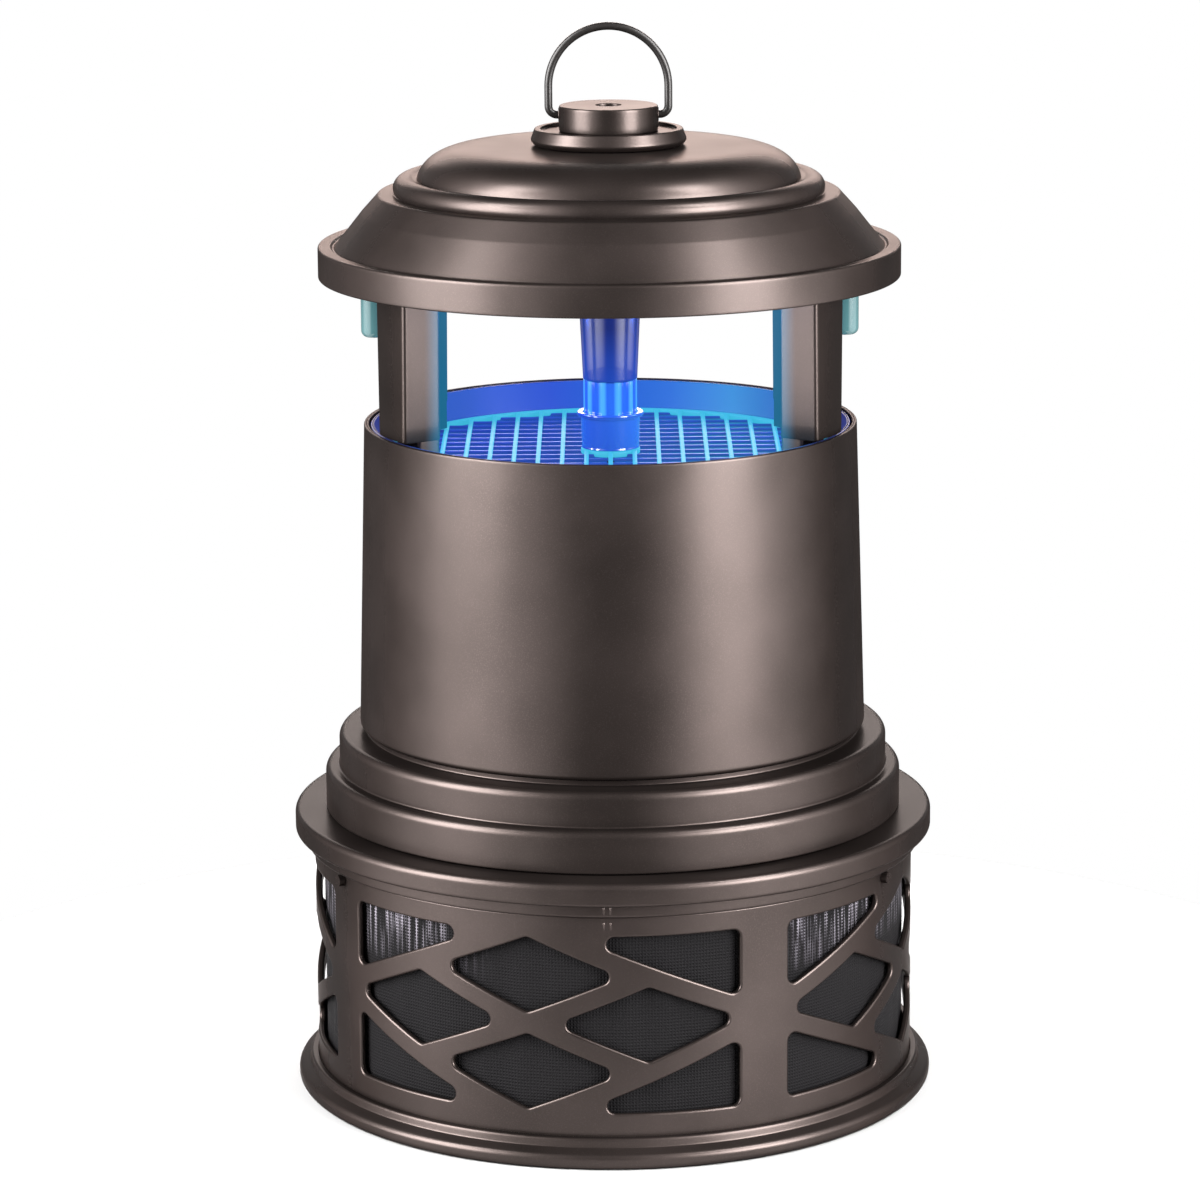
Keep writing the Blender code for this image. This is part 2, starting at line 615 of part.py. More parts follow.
def make_flange():
    """Flange ring: a flat top, an outer skirt, a rib on the lock ring and a spigot inside it."""
    rib = (LOCK_SPIGOT_RADIUS + LOCK_RING_RADIUS - FLANGE_WALL) / 2
    outline = round_corners([
        (FLANGE_RADIUS, FLANGE_TOP, 0.0012),
        (FLANGE_RADIUS, FLANGE_BOTTOM, 0),
        (FLANGE_RADIUS - FLANGE_WALL, FLANGE_BOTTOM, 0),
        (FLANGE_RADIUS - FLANGE_WALL, PLATE_BOTTOM, 0),
        (rib + FLANGE_WALL, PLATE_BOTTOM, 0),
        (rib + FLANGE_WALL, FLANGE_BOTTOM, 0),
        (rib, FLANGE_BOTTOM, 0),
        (rib, PLATE_BOTTOM, 0),
        (FLANGE_SPIGOT_RADIUS, PLATE_BOTTOM, 0),
        (FLANGE_SPIGOT_RADIUS, FLANGE_BOTTOM - FLANGE_SPIGOT, 0),
        (FLANGE_SPIGOT_RADIUS - FLANGE_WALL, FLANGE_BOTTOM - FLANGE_SPIGOT, 0),
        (FLANGE_SPIGOT_RADIUS - FLANGE_WALL, PLATE_BOTTOM, 0),
        (FLANGE_INNER, PLATE_BOTTOM, 0),
        (FLANGE_INNER, FLANGE_TOP, 0),
    ])
    flange = add_part("flange_ring", lathe(outline), "bronze")
    boolean(flange, screw_holes(FLANGE_SCREW_CIRCLE, FLANGE_SCREW_ANGLES, PLATE_BOTTOM, FLANGE_TOP), "DIFFERENCE")


def screw_holes(circle, angles, bottom, top):
    holes = None
    for angle in angles:
        holes = rod(around(circle, angle, bottom - FLANGE_PLATE), around(circle, angle, top + FLANGE_PLATE),
                    SCREW_HOLE, holes, 6)
    return holes


def make_collar():
    """Two-step collar with a foot on the flange and a neck inside the drum."""
    outline = round_corners([
        (COLLAR_RADIUS, COLLAR_BOTTOM, 0),
        (COLLAR_RADIUS - WALL, COLLAR_BOTTOM, 0),
        (FLANGE_INNER, COLLAR_BOTTOM, 0),
        (FLANGE_INNER, COLLAR_BOTTOM + COLLAR_FOOT, 0),
        (COLLAR_RADIUS - WALL, COLLAR_BOTTOM + COLLAR_FOOT, 0),
        (COLLAR_RADIUS - WALL, COLLAR_SHOULDER - WALL, 0),
        (UPPER_COLLAR_RADIUS - WALL, COLLAR_SHOULDER - WALL, 0),
        (UPPER_COLLAR_RADIUS - WALL, COLLAR_TOP - WALL, 0),
        (NECK_RADIUS - NECK_WALL, COLLAR_TOP - WALL, 0),
        (NECK_RADIUS - NECK_WALL, NECK_TOP, 0),
        (NECK_RADIUS, NECK_TOP, 0),
        (NECK_RADIUS, COLLAR_TOP, 0),
        (UPPER_COLLAR_RADIUS, COLLAR_TOP, EDGE_FILLET),
        (UPPER_COLLAR_RADIUS, COLLAR_SHOULDER, 0),
        (COLLAR_RADIUS, COLLAR_SHOULDER, EDGE_FILLET),
    ])
    collar = add_part("step_collar", lathe(outline), "bronze")
    holes = screw_holes(FLANGE_SCREW_CIRCLE, FLANGE_SCREW_ANGLES, COLLAR_BOTTOM, COLLAR_BOTTOM + COLLAR_FOOT)
    boolean(collar, holes, "DIFFERENCE")


def make_drum():
    """Slightly tapering drum, open at both ends, with a ledge that carries the fan duct."""
    outline = round_corners([
        (DRUM_RADIUS, DRUM_BOTTOM, EDGE_FILLET / 2),
        (DRUM_INNER, DRUM_BOTTOM, 0),
        (DRUM_INNER, LEDGE_BOTTOM, 0),
        (LEDGE_INNER, LEDGE_BOTTOM, 0),
        (LEDGE_INNER, LEDGE_TOP, 0),
        (DRUM_INNER, LEDGE_TOP, 0),
        (DRUM_TOP_INNER, DRUM_TOP, 0),
        (DRUM_TOP_RADIUS, DRUM_TOP, 0),
    ])
    drum = add_part("drum", lathe(outline), "bronze")
    boolean(drum, screw_holes(DUCT_SCREW_CIRCLE, DUCT_SCREW_ANGLES, LEDGE_BOTTOM, LEDGE_TOP), "DIFFERENCE")


def make_funnel():
    """Conical mouth with a seat for the grille, narrowing to the duct's bore."""
    cone_end = FUNNEL_TOP - FUNNEL_CONE_DEPTH
    outline = [
        (FUNNEL_RADIUS, FUNNEL_TOP), (FUNNEL_SEAT_RADIUS + THIN_WALL, cone_end),
        (FUNNEL_SEAT_RADIUS + THIN_WALL, FUNNEL_SEAT - THIN_WALL),
        (LEDGE_INNER + THIN_WALL, FUNNEL_SEAT - THIN_WALL),
        (DUCT_INNER + THIN_WALL, FUNNEL_BOTTOM), (DUCT_INNER, FUNNEL_BOTTOM),
        (LEDGE_INNER, FUNNEL_SEAT), (FUNNEL_SEAT_RADIUS, FUNNEL_SEAT),
        (FUNNEL_SEAT_RADIUS, cone_end), (FUNNEL_LIP_INNER, FUNNEL_TOP),
    ]
    add_part("funnel", lathe(outline), "blue")


def bar_positions(pitch, reach):
    count = int(reach / pitch)
    return [pitch * index for index in range(-count, count + 1)]


def make_grille():
    """Guard: bars along Y on thinner cross bars, inside a rim, with a hub under the column."""
    inner = GRILLE_RADIUS - GRILLE_RIM
    middle = GRILLE_RADIUS - GRILLE_RIM / 2
    bar_bottom = GRILLE_TOP - BAR_WIDTH
    cross_top = GRILLE_BOTTOM + CROSS_THICK
    grille = add_part("grille", lathe(ring_outline(inner, GRILLE_RADIUS, GRILLE_BOTTOM, GRILLE_TOP)), "blue")
    bars = lathe([(GRILLE_HUB_RADIUS, GRILLE_TOP), (GRILLE_HUB_RADIUS, GRILLE_BOTTOM),
                  (LEAD_HOLE_RADIUS, GRILLE_BOTTOM), (LEAD_HOLE_RADIUS, GRILLE_TOP)], SMALL_STEPS)
    for x in bar_positions(GRILLE_PITCH, inner):
        for low, high in bar_runs(x, middle):
            bars = box((x - BAR_WIDTH / 2, low, bar_bottom), (x + BAR_WIDTH / 2, high, GRILLE_TOP), bars)
    for y in bar_positions(GRILLE_CROSS_PITCH, inner):
        for low, high in bar_runs(y, middle):
            bars = box((low, y - CROSS_WIDTH / 2, GRILLE_BOTTOM), (high, y + CROSS_WIDTH / 2, cross_top), bars)
    boolean(grille, bars, "UNION")


def bar_runs(offset, reach):
    """The stretches of a bar at this offset: whole, or in two halves that end in the hub."""
    half = math.sqrt(reach ** 2 - offset ** 2)
    if abs(offset) > LEAD_HOLE_RADIUS:
        return [(-half, half)]
    hub = (GRILLE_HUB_RADIUS + LEAD_HOLE_RADIUS) / 2
    return [(-half, -hub), (hub, half)]


# ---- fan


def make_duct():
    outline = [
        (DUCT_OUTER, DUCT_TOP), (DUCT_OUTER, DUCT_FLANGE_TOP), (DUCT_FLANGE_RADIUS, DUCT_FLANGE_TOP),
        (DUCT_FLANGE_RADIUS, DUCT_FLANGE_BOTTOM), (DUCT_OUTER, DUCT_FLANGE_BOTTOM),
        (DUCT_OUTER, DUCT_BOTTOM), (DUCT_INNER, DUCT_BOTTOM), (DUCT_INNER, DUCT_TOP),
    ]
    duct = add_part("fan_duct", lathe(outline, INNER_STEPS), "black")
    boolean(duct, screw_holes(DUCT_SCREW_CIRCLE, DUCT_SCREW_ANGLES, DUCT_FLANGE_BOTTOM, DUCT_FLANGE_TOP),
            "DIFFERENCE")


def make_bracket():
    """Spider in the duct that holds the motor by its lip."""
    inner = MOTOR_RADIUS + SLIP_GAP
    rim = ring_outline(BRACKET_RADIUS - BRACKET_WALL, BRACKET_RADIUS, BRACKET_BOTTOM, BRACKET_TOP)
    bracket = add_part("motor_bracket", lathe(rim, INNER_STEPS), "fan")
    hub = ring_outline(inner, inner + 2 * BRACKET_WALL, BRACKET_BOTTOM, BRACKET_TOP)
    shape = lathe(hub, INNER_STEPS)
    for index in range(ARM_COUNT):
        arm = box((inner + BRACKET_WALL, -ARM_WIDTH / 2, BRACKET_BOTTOM + BRACKET_WALL / 2),
                  (BRACKET_RADIUS - BRACKET_WALL / 2, ARM_WIDTH / 2, BRACKET_TOP - BRACKET_WALL / 2))
        bmesh.ops.rotate(arm, verts=arm.verts, cent=(0, 0, 0),
                         matrix=Matrix.Rotation(math.tau * index / ARM_COUNT + math.pi / 2, 3, "Z"))
        shape = merge(shape, arm)
    boolean(bracket, shape, "UNION")


def make_motor():
    """Motor can with a lip that rests on the bracket and a bore for its shaft."""
    bore = SHAFT_RADIUS + SLIP_GAP
    lip_bottom = BRACKET_TOP + SEAT_GAP
    outline = round_corners([
        (0, MOTOR_TOP, 0), (MOTOR_RADIUS, MOTOR_TOP, EDGE_FILLET),
        (MOTOR_RADIUS, lip_bottom + MOTOR_LIP, 0), (MOTOR_RADIUS + MOTOR_LIP, lip_bottom + MOTOR_LIP, 0),
        (MOTOR_RADIUS + MOTOR_LIP, lip_bottom, 0), (MOTOR_RADIUS, lip_bottom, 0),
        (MOTOR_RADIUS, MOTOR_BOTTOM, EDGE_FILLET), (bore, MOTOR_BOTTOM, 0),
        (bore, MOTOR_BOTTOM + SHAFT_SOCKET, 0), (0, MOTOR_BOTTOM + SHAFT_SOCKET, 0),
    ])
    add_part("motor_can", lathe(outline, INNER_STEPS), "steel")


def make_rotor():
    """Cupped hub with swept blades, its shaft and its nut, all turning about Z."""
    bore = SHAFT_RADIUS + SEAT_GAP
    cup = ROTOR_HUB_RADIUS - BRACKET_WALL
    boss = 2 * SHAFT_RADIUS + SEAT_GAP
    floor = ROTOR_BOTTOM + BRACKET_WALL
    outline = [
        (ROTOR_HUB_RADIUS, ROTOR_TOP), (ROTOR_HUB_RADIUS, ROTOR_BOTTOM), (bore, ROTOR_BOTTOM),
        (bore, ROTOR_TOP - THIN_WALL), (boss, ROTOR_TOP - THIN_WALL), (boss, floor), (cup, floor), (cup, ROTOR_TOP),
    ]
    place = (0, 0, ROTOR_BOTTOM)
    rotor = add_part("fan_rotor", lathe(outline, INNER_STEPS), "fan", place)
    blades = None
    for index in range(BLADE_COUNT):
        blades = blade(math.tau * index / BLADE_COUNT, blades)
    boolean(rotor, blades, "UNION")
    nut_top = ROTOR_BOTTOM - SEAT_GAP
    shaft_end = nut_top - NUT_HEIGHT - THIN_WALL
    shaft = rod((0, 0, shaft_end), (0, 0, MOTOR_BOTTOM + SHAFT_SOCKET - SLIP_GAP), SHAFT_RADIUS)
    add_part("motor_shaft", shaft, "steel", place)
    nut = lathe(ring_outline(bore, NUT_RADIUS, nut_top - NUT_HEIGHT, nut_top), 12)
    add_part("fan_nut", nut, "steel", place)


def blade(angle, shape):
    """A blade from the hub to the tip: each cross-section climbs from edge to edge and the sweep
    lessens towards the tip."""
    new = bmesh.new()
    columns = []
    rows = 5
    for step in range(rows):
        share = step / (rows - 1)
        radius = ROTOR_HUB_RADIUS - BRACKET_WALL / 2 + share * (ROTOR_RADIUS - ROTOR_HUB_RADIUS + BRACKET_WALL / 2)
        half = BLADE_HALF_ANGLE * (1 - 0.25 * share)
        climb = (ROTOR_HEIGHT - 4 * BLADE_THICK) * (1 - 0.35 * share) / 2
        middle = (ROTOR_TOP + ROTOR_BOTTOM) / 2
        column = []
        for side in (-1, -0.33, 0.33, 1):
            bow = climb * side
            for lift in (-BLADE_THICK / 2, BLADE_THICK / 2):
                column.append(new.verts.new(around(radius, angle + half * side, middle + bow + lift)))
        columns.append(column)
    loop = [0, 2, 4, 6, 7, 5, 3, 1]
    for first, second in zip(columns, columns[1:]):
        for index in range(len(loop)):
            a, b = loop[index - 1], loop[index]
            new.faces.new((first[a], first[b], second[b], second[a]))
    for column in (columns[0], columns[-1]):
        for a, b, c, d in ((0, 2, 3, 1), (2, 4, 5, 3), (4, 6, 7, 5)):
            new.faces.new((column[a], column[b], column[c], column[d]))
    bmesh.ops.triangulate(new, faces=new.faces[:])
    return merge(shape, new)


# ---- column, posts and lamps


def make_column():
    """Cup on the grille's hub, clear sleeve in the cup, and a tapering tube up to the pan."""
    bore = SLEEVE_RADIUS + SEAT_GAP
    floor = CUP_BOTTOM + CUP_FLOOR
    rim = CUP_TOP - CUP_RIM_HEIGHT
    cup = [
        (CUP_RIM_RADIUS, CUP_TOP), (CUP_RIM_RADIUS, rim), (CUP_RADIUS, rim), (CUP_RADIUS, CUP_BOTTOM),
        (LEAD_HOLE_RADIUS, CUP_BOTTOM), (LEAD_HOLE_RADIUS, floor), (bore, floor), (bore, CUP_TOP),
    ]
    add_part("column_socket", lathe(cup, INNER_STEPS), "blue")
    sleeve = ring_outline(SLEEVE_RADIUS - SLEEVE_WALL, SLEEVE_RADIUS, SLEEVE_BOTTOM, SLEEVE_TOP)
    add_part("column_sleeve", lathe(sleeve, INNER_STEPS), "clear")
    bottom = SLEEVE_TOP + SEAT_GAP
    tube = [
        (TUBE_TOP_RADIUS, ENTRY_TOP), (TUBE_LOW_RADIUS, bottom),
        (TUBE_LOW_RADIUS - THIN_WALL, bottom), (TUBE_TOP_RADIUS - THIN_WALL, ENTRY_TOP),
    ]
    add_part("column_tube", lathe(tube, INNER_STEPS), "blue")


def make_lead():
    """Motor lead: from the ballast over to the column and down through it to the motor."""
    side = BALLAST_Y - BALLAST_SIZE[1] / 2 - SEAT_GAP
    bend = side / 2
    start = Vector((0, side, PAN_TOP + bend + LEAD_RADIUS))
    points = [start, Vector((0, bend, start.z))]
    for step in range(1, 6):
        angle = math.pi / 2 * step / 6
        drop = bend * (1 - math.cos(angle))
        points.append(Vector((0, bend - bend * math.sin(angle), start.z - drop)))
    points.append(Vector((0, 0, start.z - bend)))
    points.append(Vector((0, 0, MOTOR_TOP + SEAT_GAP)))
    add_wire("motor_lead", points, LEAD_RADIUS, "rubber", (0, 0, 0))


def add_wire(name, points, radius, kind, place):
    curve = bpy.data.curves.new(name, "CURVE")
    curve.dimensions = "3D"
    curve.bevel_depth = radius
    curve.bevel_resolution = 2
    curve.use_fill_caps = True
    line = curve.splines.new("POLY")
    line.points.add(len(points) - 1)
    for spot, point in zip(line.points, points):
        spot.co = (*(Vector(point) - Vector(place)), 1)
    curve.materials.append(finish(kind))
    item = add_object(name, curve)
    item.location = place


def make_posts():
    """Four posts: the body carries the roof, the foot stands on the grille's rim inside the funnel."""
    shelf = DRUM_TOP + SEAT_GAP
    names = ["post_rear_right", "post_rear_left", "post_front_left", "post_front_right"]
    for name, angle in zip(names, POST_AZIMUTHS):
        body = sector_prism(POST_INNER, POST_OUTER, angle, POST_LOW_HALF, POST_TOP_HALF, shelf, ENTRY_TOP)
        post = add_part(name, body, "bronze")
        half = POST_LOW_HALF - FOOT_INSET / POST_INNER
        foot = sector_prism(POST_INNER + FOOT_INSET, GRILLE_RADIUS - SLIP_GAP, angle, half, half,
                            GRILLE_TOP + SEAT_GAP, shelf + POST_SCREW_LENGTH)
        boolean(post, foot, "UNION")
        bore = rod(around(POST_SCREW_CIRCLE, angle, ENTRY_TOP - POST_SCREW_LENGTH),
                   around(POST_SCREW_CIRCLE, angle, ENTRY_TOP + POST_SCREW_LENGTH), SCREW_HOLE, None, 8)
        boolean(post, bore, "DIFFERENCE")


def make_screws():
    """Post screws from the pan down, flange screws from below, duct screws from above."""
    for number, angle in enumerate(POST_AZIMUTHS, 1):
        screw("post_screw_%d" % number, around(POST_SCREW_CIRCLE, angle, PAN_TOP + SEAT_GAP), -1,
              POST_SCREW_LENGTH)
    for number, angle in enumerate(FLANGE_SCREW_ANGLES, 1):
        screw("flange_screw_%d" % number, around(FLANGE_SCREW_CIRCLE, angle, PLATE_BOTTOM - SEAT_GAP), 1,
              COLLAR_BOTTOM + COLLAR_FOOT - PLATE_BOTTOM)
    for number, angle in enumerate(DUCT_SCREW_ANGLES, 1):
        screw("duct_screw_%d" % number, around(DUCT_SCREW_CIRCLE, angle, DUCT_FLANGE_TOP + SEAT_GAP), -1,
              DUCT_FLANGE_TOP - LEDGE_BOTTOM)


def screw(name, seat, way, length):
    """A pan-head screw: its head rests on seat and its shank runs the given way along Z."""
    outline = [
        (0, -way * SCREW_HEAD_HEIGHT), (SCREW_HEAD_RADIUS, -way * SCREW_HEAD_HEIGHT), (SCREW_HEAD_RADIUS, 0),
        (SCREW_RADIUS, 0), (SCREW_RADIUS, way * length), (0, way * length),
    ]
    shape = lathe(outline, 6)
    bmesh.ops.translate(shape, verts=shape.verts, vec=seat)
    add_part(name, shape, "steel", seat)


def make_lamps():
    """Twin-tube lamps that pull straight down out of their sockets."""
    socket_bottom = PAN_TOP + SEAT_GAP
    socket_top = LAMP_BASE_TOP + SEAT_GAP + SOCKET_TOP
    for side, name in ((-1, "left"), (1, "right")):
        x = side * LAMP_X
        place = (x, 0, LAMP_BASE_TOP)
        low = (x - LAMP_BASE_X / 2, -LAMP_BASE_Y / 2, LAMP_BASE_BOTTOM)
        high = (x + LAMP_BASE_X / 2, LAMP_BASE_Y / 2, LAMP_BASE_TOP)
        add_part("lamp_base_" + name, box(low, high), "cap", place)
        glass_top = LAMP_BASE_BOTTOM - SEAT_GAP
        tube = add_part("lamp_tube_" + name, lamp_tube(x, -LAMP_SPACING / 2, glass_top), "lamp", place)
        second = lamp_tube(x, LAMP_SPACING / 2, glass_top)
        bridge_z = glass_top - LAMP_LENGTH + LAMP_RADIUS
        second = box((x - LAMP_RADIUS / 2, -LAMP_SPACING / 2, bridge_z),
                     (x + LAMP_RADIUS / 2, LAMP_SPACING / 2, bridge_z + LAMP_RADIUS / 2), second)
        boolean(tube, second, "UNION")
        grow = Vector((1, 1, 0)) * (SLIP_GAP + SOCKET_WALL)
        shell = box(Vector((low[0], low[1], socket_bottom)) - grow, Vector((high[0], high[1], socket_top)) + grow)
        socket = add_part("lamp_socket_" + name, shell, "cap")
        grow = Vector((1, 1, 0)) * SLIP_GAP
        recess = box(Vector(low) - grow, Vector((high[0], high[1], LAMP_BASE_TOP + SEAT_GAP)) + grow)
        boolean(socket, recess, "DIFFERENCE")


def lamp_tube(x, y, top):
    bottom = top - LAMP_LENGTH
    outline = round_corners([(0, top, 0), (LAMP_RADIUS, top, 0), (LAMP_RADIUS, bottom, LAMP_RADIUS / 2),
                             (0, bottom, 0)])
    shape = lathe(outline, SMALL_STEPS)
    bmesh.ops.translate(shape, verts=shape.verts, vec=(x, y, 0))
    return shape


# ---- roof


def make_pan():
    """Flat pan under the roof, pierced for the lamps, the screws, the lead and the gland."""
    outline = [(0, PAN_TOP), (PAN_RADIUS, PAN_TOP), (PAN_RADIUS, PAN_BOTTOM), (0, PAN_BOTTOM)]
    pan = add_part("roof_pan", lathe(outline), "bronze")
    below = PAN_BOTTOM - CUT_REACH
    above = PAN_TOP + CUT_REACH
    holes = rod((0, 0, below), (0, 0, above), LEAD_HOLE_RADIUS)
    holes = rod((0, GLAND_Y, below), (0, GLAND_Y, above), GLAND_BORE, holes)
    for angle in POST_AZIMUTHS:
        holes = rod(around(POST_SCREW_CIRCLE, angle, below), around(POST_SCREW_CIRCLE, angle, above),
                    SCREW_HOLE, holes, 8)
    half_x = LAMP_BASE_X / 2 + SLIP_GAP
    half_y = LAMP_BASE_Y / 2 + SLIP_GAP
    for side in (-1, 1):
        x = side * LAMP_X
        holes = box((x - half_x, -half_y, below), (x + half_x, half_y, above), holes)
    boolean(pan, holes, "DIFFERENCE")


def skirt_points(steps=3):
    """Hollow curve from the skirt's top edge down to the trough; its middle is drawn in by SKIRT_HOLLOW."""
    points = []
    for step in range(steps + 1):
        share = step / steps
        dip = SKIRT_HOLLOW * math.sin(math.pi * share)
        radius = SKIRT_TOP_RADIUS + (TROUGH_RADIUS - SKIRT_TOP_RADIUS) * share
        points.append((radius - dip, SKIRT_TOP - SKIRT_RISE * share - dip))
    return points


def make_roof():
    """Stepped roof: crown, raised bead, hollow skirt and upright rim, as one thin shell."""
    hole = BOLT_RADIUS + SLIP_GAP
    skirt = skirt_points()
    outer = [(hole, ROOF_TOP)] + [(radius, ROOF_TOP - drop) for radius, drop in DOME_FALL]
    outer += [(VALLEY_RADIUS, BEAD_TOP - VALLEY_DEPTH), (BEAD_TOP_RADIUS, BEAD_TOP)]
    outer += [(radius, BEAD_TOP - drop) for radius, drop in BEAD_FALL]
    outer.append((BEAD_OUTER + ROOF_CORNER, SKIRT_TOP))
    rim = [
        (TROUGH_RADIUS + 2 * ROOF_CORNER, RIM_TOP), (RIM_RADIUS, RIM_TOP - RIM_CHAMFER),
        (RIM_RADIUS, RIM_BOTTOM), (RIM_INNER, RIM_BOTTOM), (RIM_INNER, RIM_TOP - WALL),
        (TROUGH_RADIUS - WALL, RIM_TOP - WALL),
    ]
    lining = [(radius - WALL, z - WALL / 2) for radius, z in reversed(skirt[2:-1])]
    inner = [
        (SKIRT_TOP_RADIUS - WALL, SKIRT_TOP - WALL), (BEAD_TOP_RADIUS + WALL, SKIRT_TOP - WALL),
        (VALLEY_RADIUS, BEAD_TOP - 2 * WALL),
    ]
    inner += [(radius, ROOF_TOP - drop) for radius, drop in DOME_LINING]
    inner.append((hole, ROOF_TOP - CROWN_WALL))
    add_part("roof_shell", lathe(outer + skirt + rim + lining + inner), "bronze")


def make_roof_fittings():
    """Knob, its base, a gasket, and the bolt and nut that clamp them to the roof."""
    bore = BOLT_RADIUS + SLIP_GAP
    wall = KNOB_BASE_HEIGHT / 3
    step_z = KNOB_BASE_BOTTOM + KNOB_BASE_HEIGHT * 0.2
    dish_z = KNOB_BASE_TOP - KNOB_SINK
    base = round_corners([
        (KNOB_BASE_TOP_RADIUS, KNOB_BASE_TOP, 0.0006), (KNOB_BASE_RADIUS, step_z + 0.0010, 0.0008),
        (KNOB_BASE_RADIUS, step_z - 0.0004, 0), (KNOB_BASE_TOP_RADIUS, KNOB_BASE_BOTTOM, 0),
        (KNOB_BASE_TOP_RADIUS - wall, KNOB_BASE_BOTTOM, 0),
        (KNOB_BASE_TOP_RADIUS - wall, dish_z - wall, 0), (bore, dish_z - wall, 0), (bore, dish_z, 0),
        (KNOB_BASE_TOP_RADIUS - KNOB_DISH_EDGE, dish_z, 0),
        (KNOB_BASE_TOP_RADIUS - KNOB_DISH_EDGE, KNOB_BASE_TOP, 0),
    ])
    add_part("knob_base", lathe(base, INNER_STEPS), "bronze")
    gasket_top = KNOB_BASE_BOTTOM + GASKET_THICK
    gasket = ring_outline(bore, GASKET_RADIUS, KNOB_BASE_BOTTOM, gasket_top)
    add_part("roof_gasket", lathe(gasket, INNER_STEPS), "rubber")
    recess = BOLT_HEAD_RADIUS + SLIP_GAP
    knob_outline = round_corners([
        (KNOB_RADIUS, KNOB_TOP, 0.0008), (KNOB_RADIUS, KNOB_BOTTOM, 0.0004), (bore, KNOB_BOTTOM, 0),
        (bore, KNOB_TOP - 2 * KNOB_RECESS, 0), (recess, KNOB_TOP - 2 * KNOB_RECESS, 0), (recess, KNOB_TOP, 0),
    ])
    place = (0, 0, PIVOT_Z)
    knob = add_part("knob", lathe(knob_outline, INNER_STEPS), "bronze", place)
    bores = None
    for side in (-1, 1):
        inner = side * (KNOB_RADIUS - BAIL_GRIP - SLIP_GAP)
        outer = side * (KNOB_RADIUS + CUT_REACH)
        bores = rod((inner, 0, PIVOT_Z), (outer, 0, PIVOT_Z), WIRE_RADIUS + SLIP_GAP, bores, 12)
    boolean(knob, bores, "DIFFERENCE")
    head_bottom = KNOB_TOP - 2 * KNOB_RECESS + SEAT_GAP
    bolt = [
        (0, head_bottom + KNOB_RECESS), (BOLT_HEAD_RADIUS, head_bottom + KNOB_RECESS),
        (BOLT_HEAD_RADIUS, head_bottom), (BOLT_RADIUS, head_bottom),
        (BOLT_RADIUS, head_bottom - BOLT_LENGTH), (0, head_bottom - BOLT_LENGTH),
    ]
    add_part("hanger_bolt", lathe(bolt, 12), "steel")
    nut_top = ROOF_TOP - CROWN_WALL - SEAT_GAP
    nut = ring_outline(bore, 2 * BOLT_RADIUS, nut_top - 2 * BOLT_RADIUS, nut_top)
    add_part("hanger_nut", lathe(nut, SMALL_STEPS), "steel")


def make_bail():
    """Wire bail: both ends turn in through a small bend and pivot in the knob."""
    points = []
    turned_in = BAIL_HALF_WIDTH - BAIL_BEND
    arch_z = PIVOT_Z + BAIL_BEND + BAIL_STRAIGHT
    points.append((KNOB_RADIUS - BAIL_GRIP, PIVOT_Z))
    for step in range(5):
        angle = math.pi / 2 * step / 4
        points.append((turned_in + BAIL_BEND * math.sin(angle), PIVOT_Z + BAIL_BEND * (1 - math.cos(angle))))
    for step in range(9):
        angle = math.pi / 2 * step / 8
        points.append((BAIL_HALF_WIDTH * math.cos(angle), arch_z + BAIL_HALF_WIDTH * math.sin(angle)))
    route = [Vector((x, 0, z)) for x, z in points] + [Vector((-x, 0, z)) for x, z in reversed(points[:-1])]
    add_wire("hanging_bail", route, WIRE_RADIUS, "wire", (0, 0, PIVOT_Z))


def make_electrics():
    """Ballast, driver board on standoffs and the gland for the supply cord."""
    base = PAN_TOP + SEAT_GAP
    half_x, half_y = BALLAST_SIZE[0] / 2, BALLAST_SIZE[1] / 2
    add_part("ballast_box", box((-half_x, BALLAST_Y - half_y, base),
                                (half_x, BALLAST_Y + half_y, base + BALLAST_SIZE[2])), "steel")
    for number, x in enumerate((-STANDOFF_X, STANDOFF_X), 1):
        post = rod((x, BOARD_Y, base), (x, BOARD_Y, base + STANDOFF_HEIGHT), STANDOFF_RADIUS, None, 12)
        add_part("board_standoff_%d" % number, post, "cap")
    half_x, half_y = BOARD_SIZE[0] / 2, BOARD_SIZE[1] / 2
    board_z = base + STANDOFF_HEIGHT + SEAT_GAP
    add_part("driver_board", box((-half_x, BOARD_Y - half_y, board_z),
                                 (half_x, BOARD_Y + half_y, board_z + BOARD_SIZE[2])), "board")
    flange_bottom = ENTRY_TOP - GLAND_FLANGE
    gland = lathe([
        (GLAND_RADIUS + GLAND_FLANGE, ENTRY_TOP), (GLAND_RADIUS + GLAND_FLANGE, flange_bottom),
        (GLAND_RADIUS, flange_bottom), (GLAND_RADIUS - GLAND_FLANGE / 2, flange_bottom - GLAND_LENGTH),
        (GLAND_BORE, flange_bottom - GLAND_LENGTH), (GLAND_BORE, ENTRY_TOP),
    ], SMALL_STEPS)
    bmesh.ops.translate(gland, verts=gland.verts, vec=(0, GLAND_Y, 0))
    add_part("cord_gland", gland, "rubber")


def main():
    clear_scene()
    make_foot()
    make_floor()
    make_cage()
    make_screen()
    make_lock_pins()
    make_lock_ring()
    make_flange()
    make_collar()
    make_drum()
    make_funnel()
    make_grille()
    make_duct()
    make_bracket()
    make_motor()
    make_rotor()
    make_column()
    make_lead()
    make_posts()
    make_screws()
    make_lamps()
    make_pan()
    make_roof()
    make_roof_fittings()
    make_bail()
    make_electrics()


main()
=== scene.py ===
import math

import bmesh
import bpy
import numpy as np
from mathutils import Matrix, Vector
from mathutils.geometry import delaunay_2d_cdt


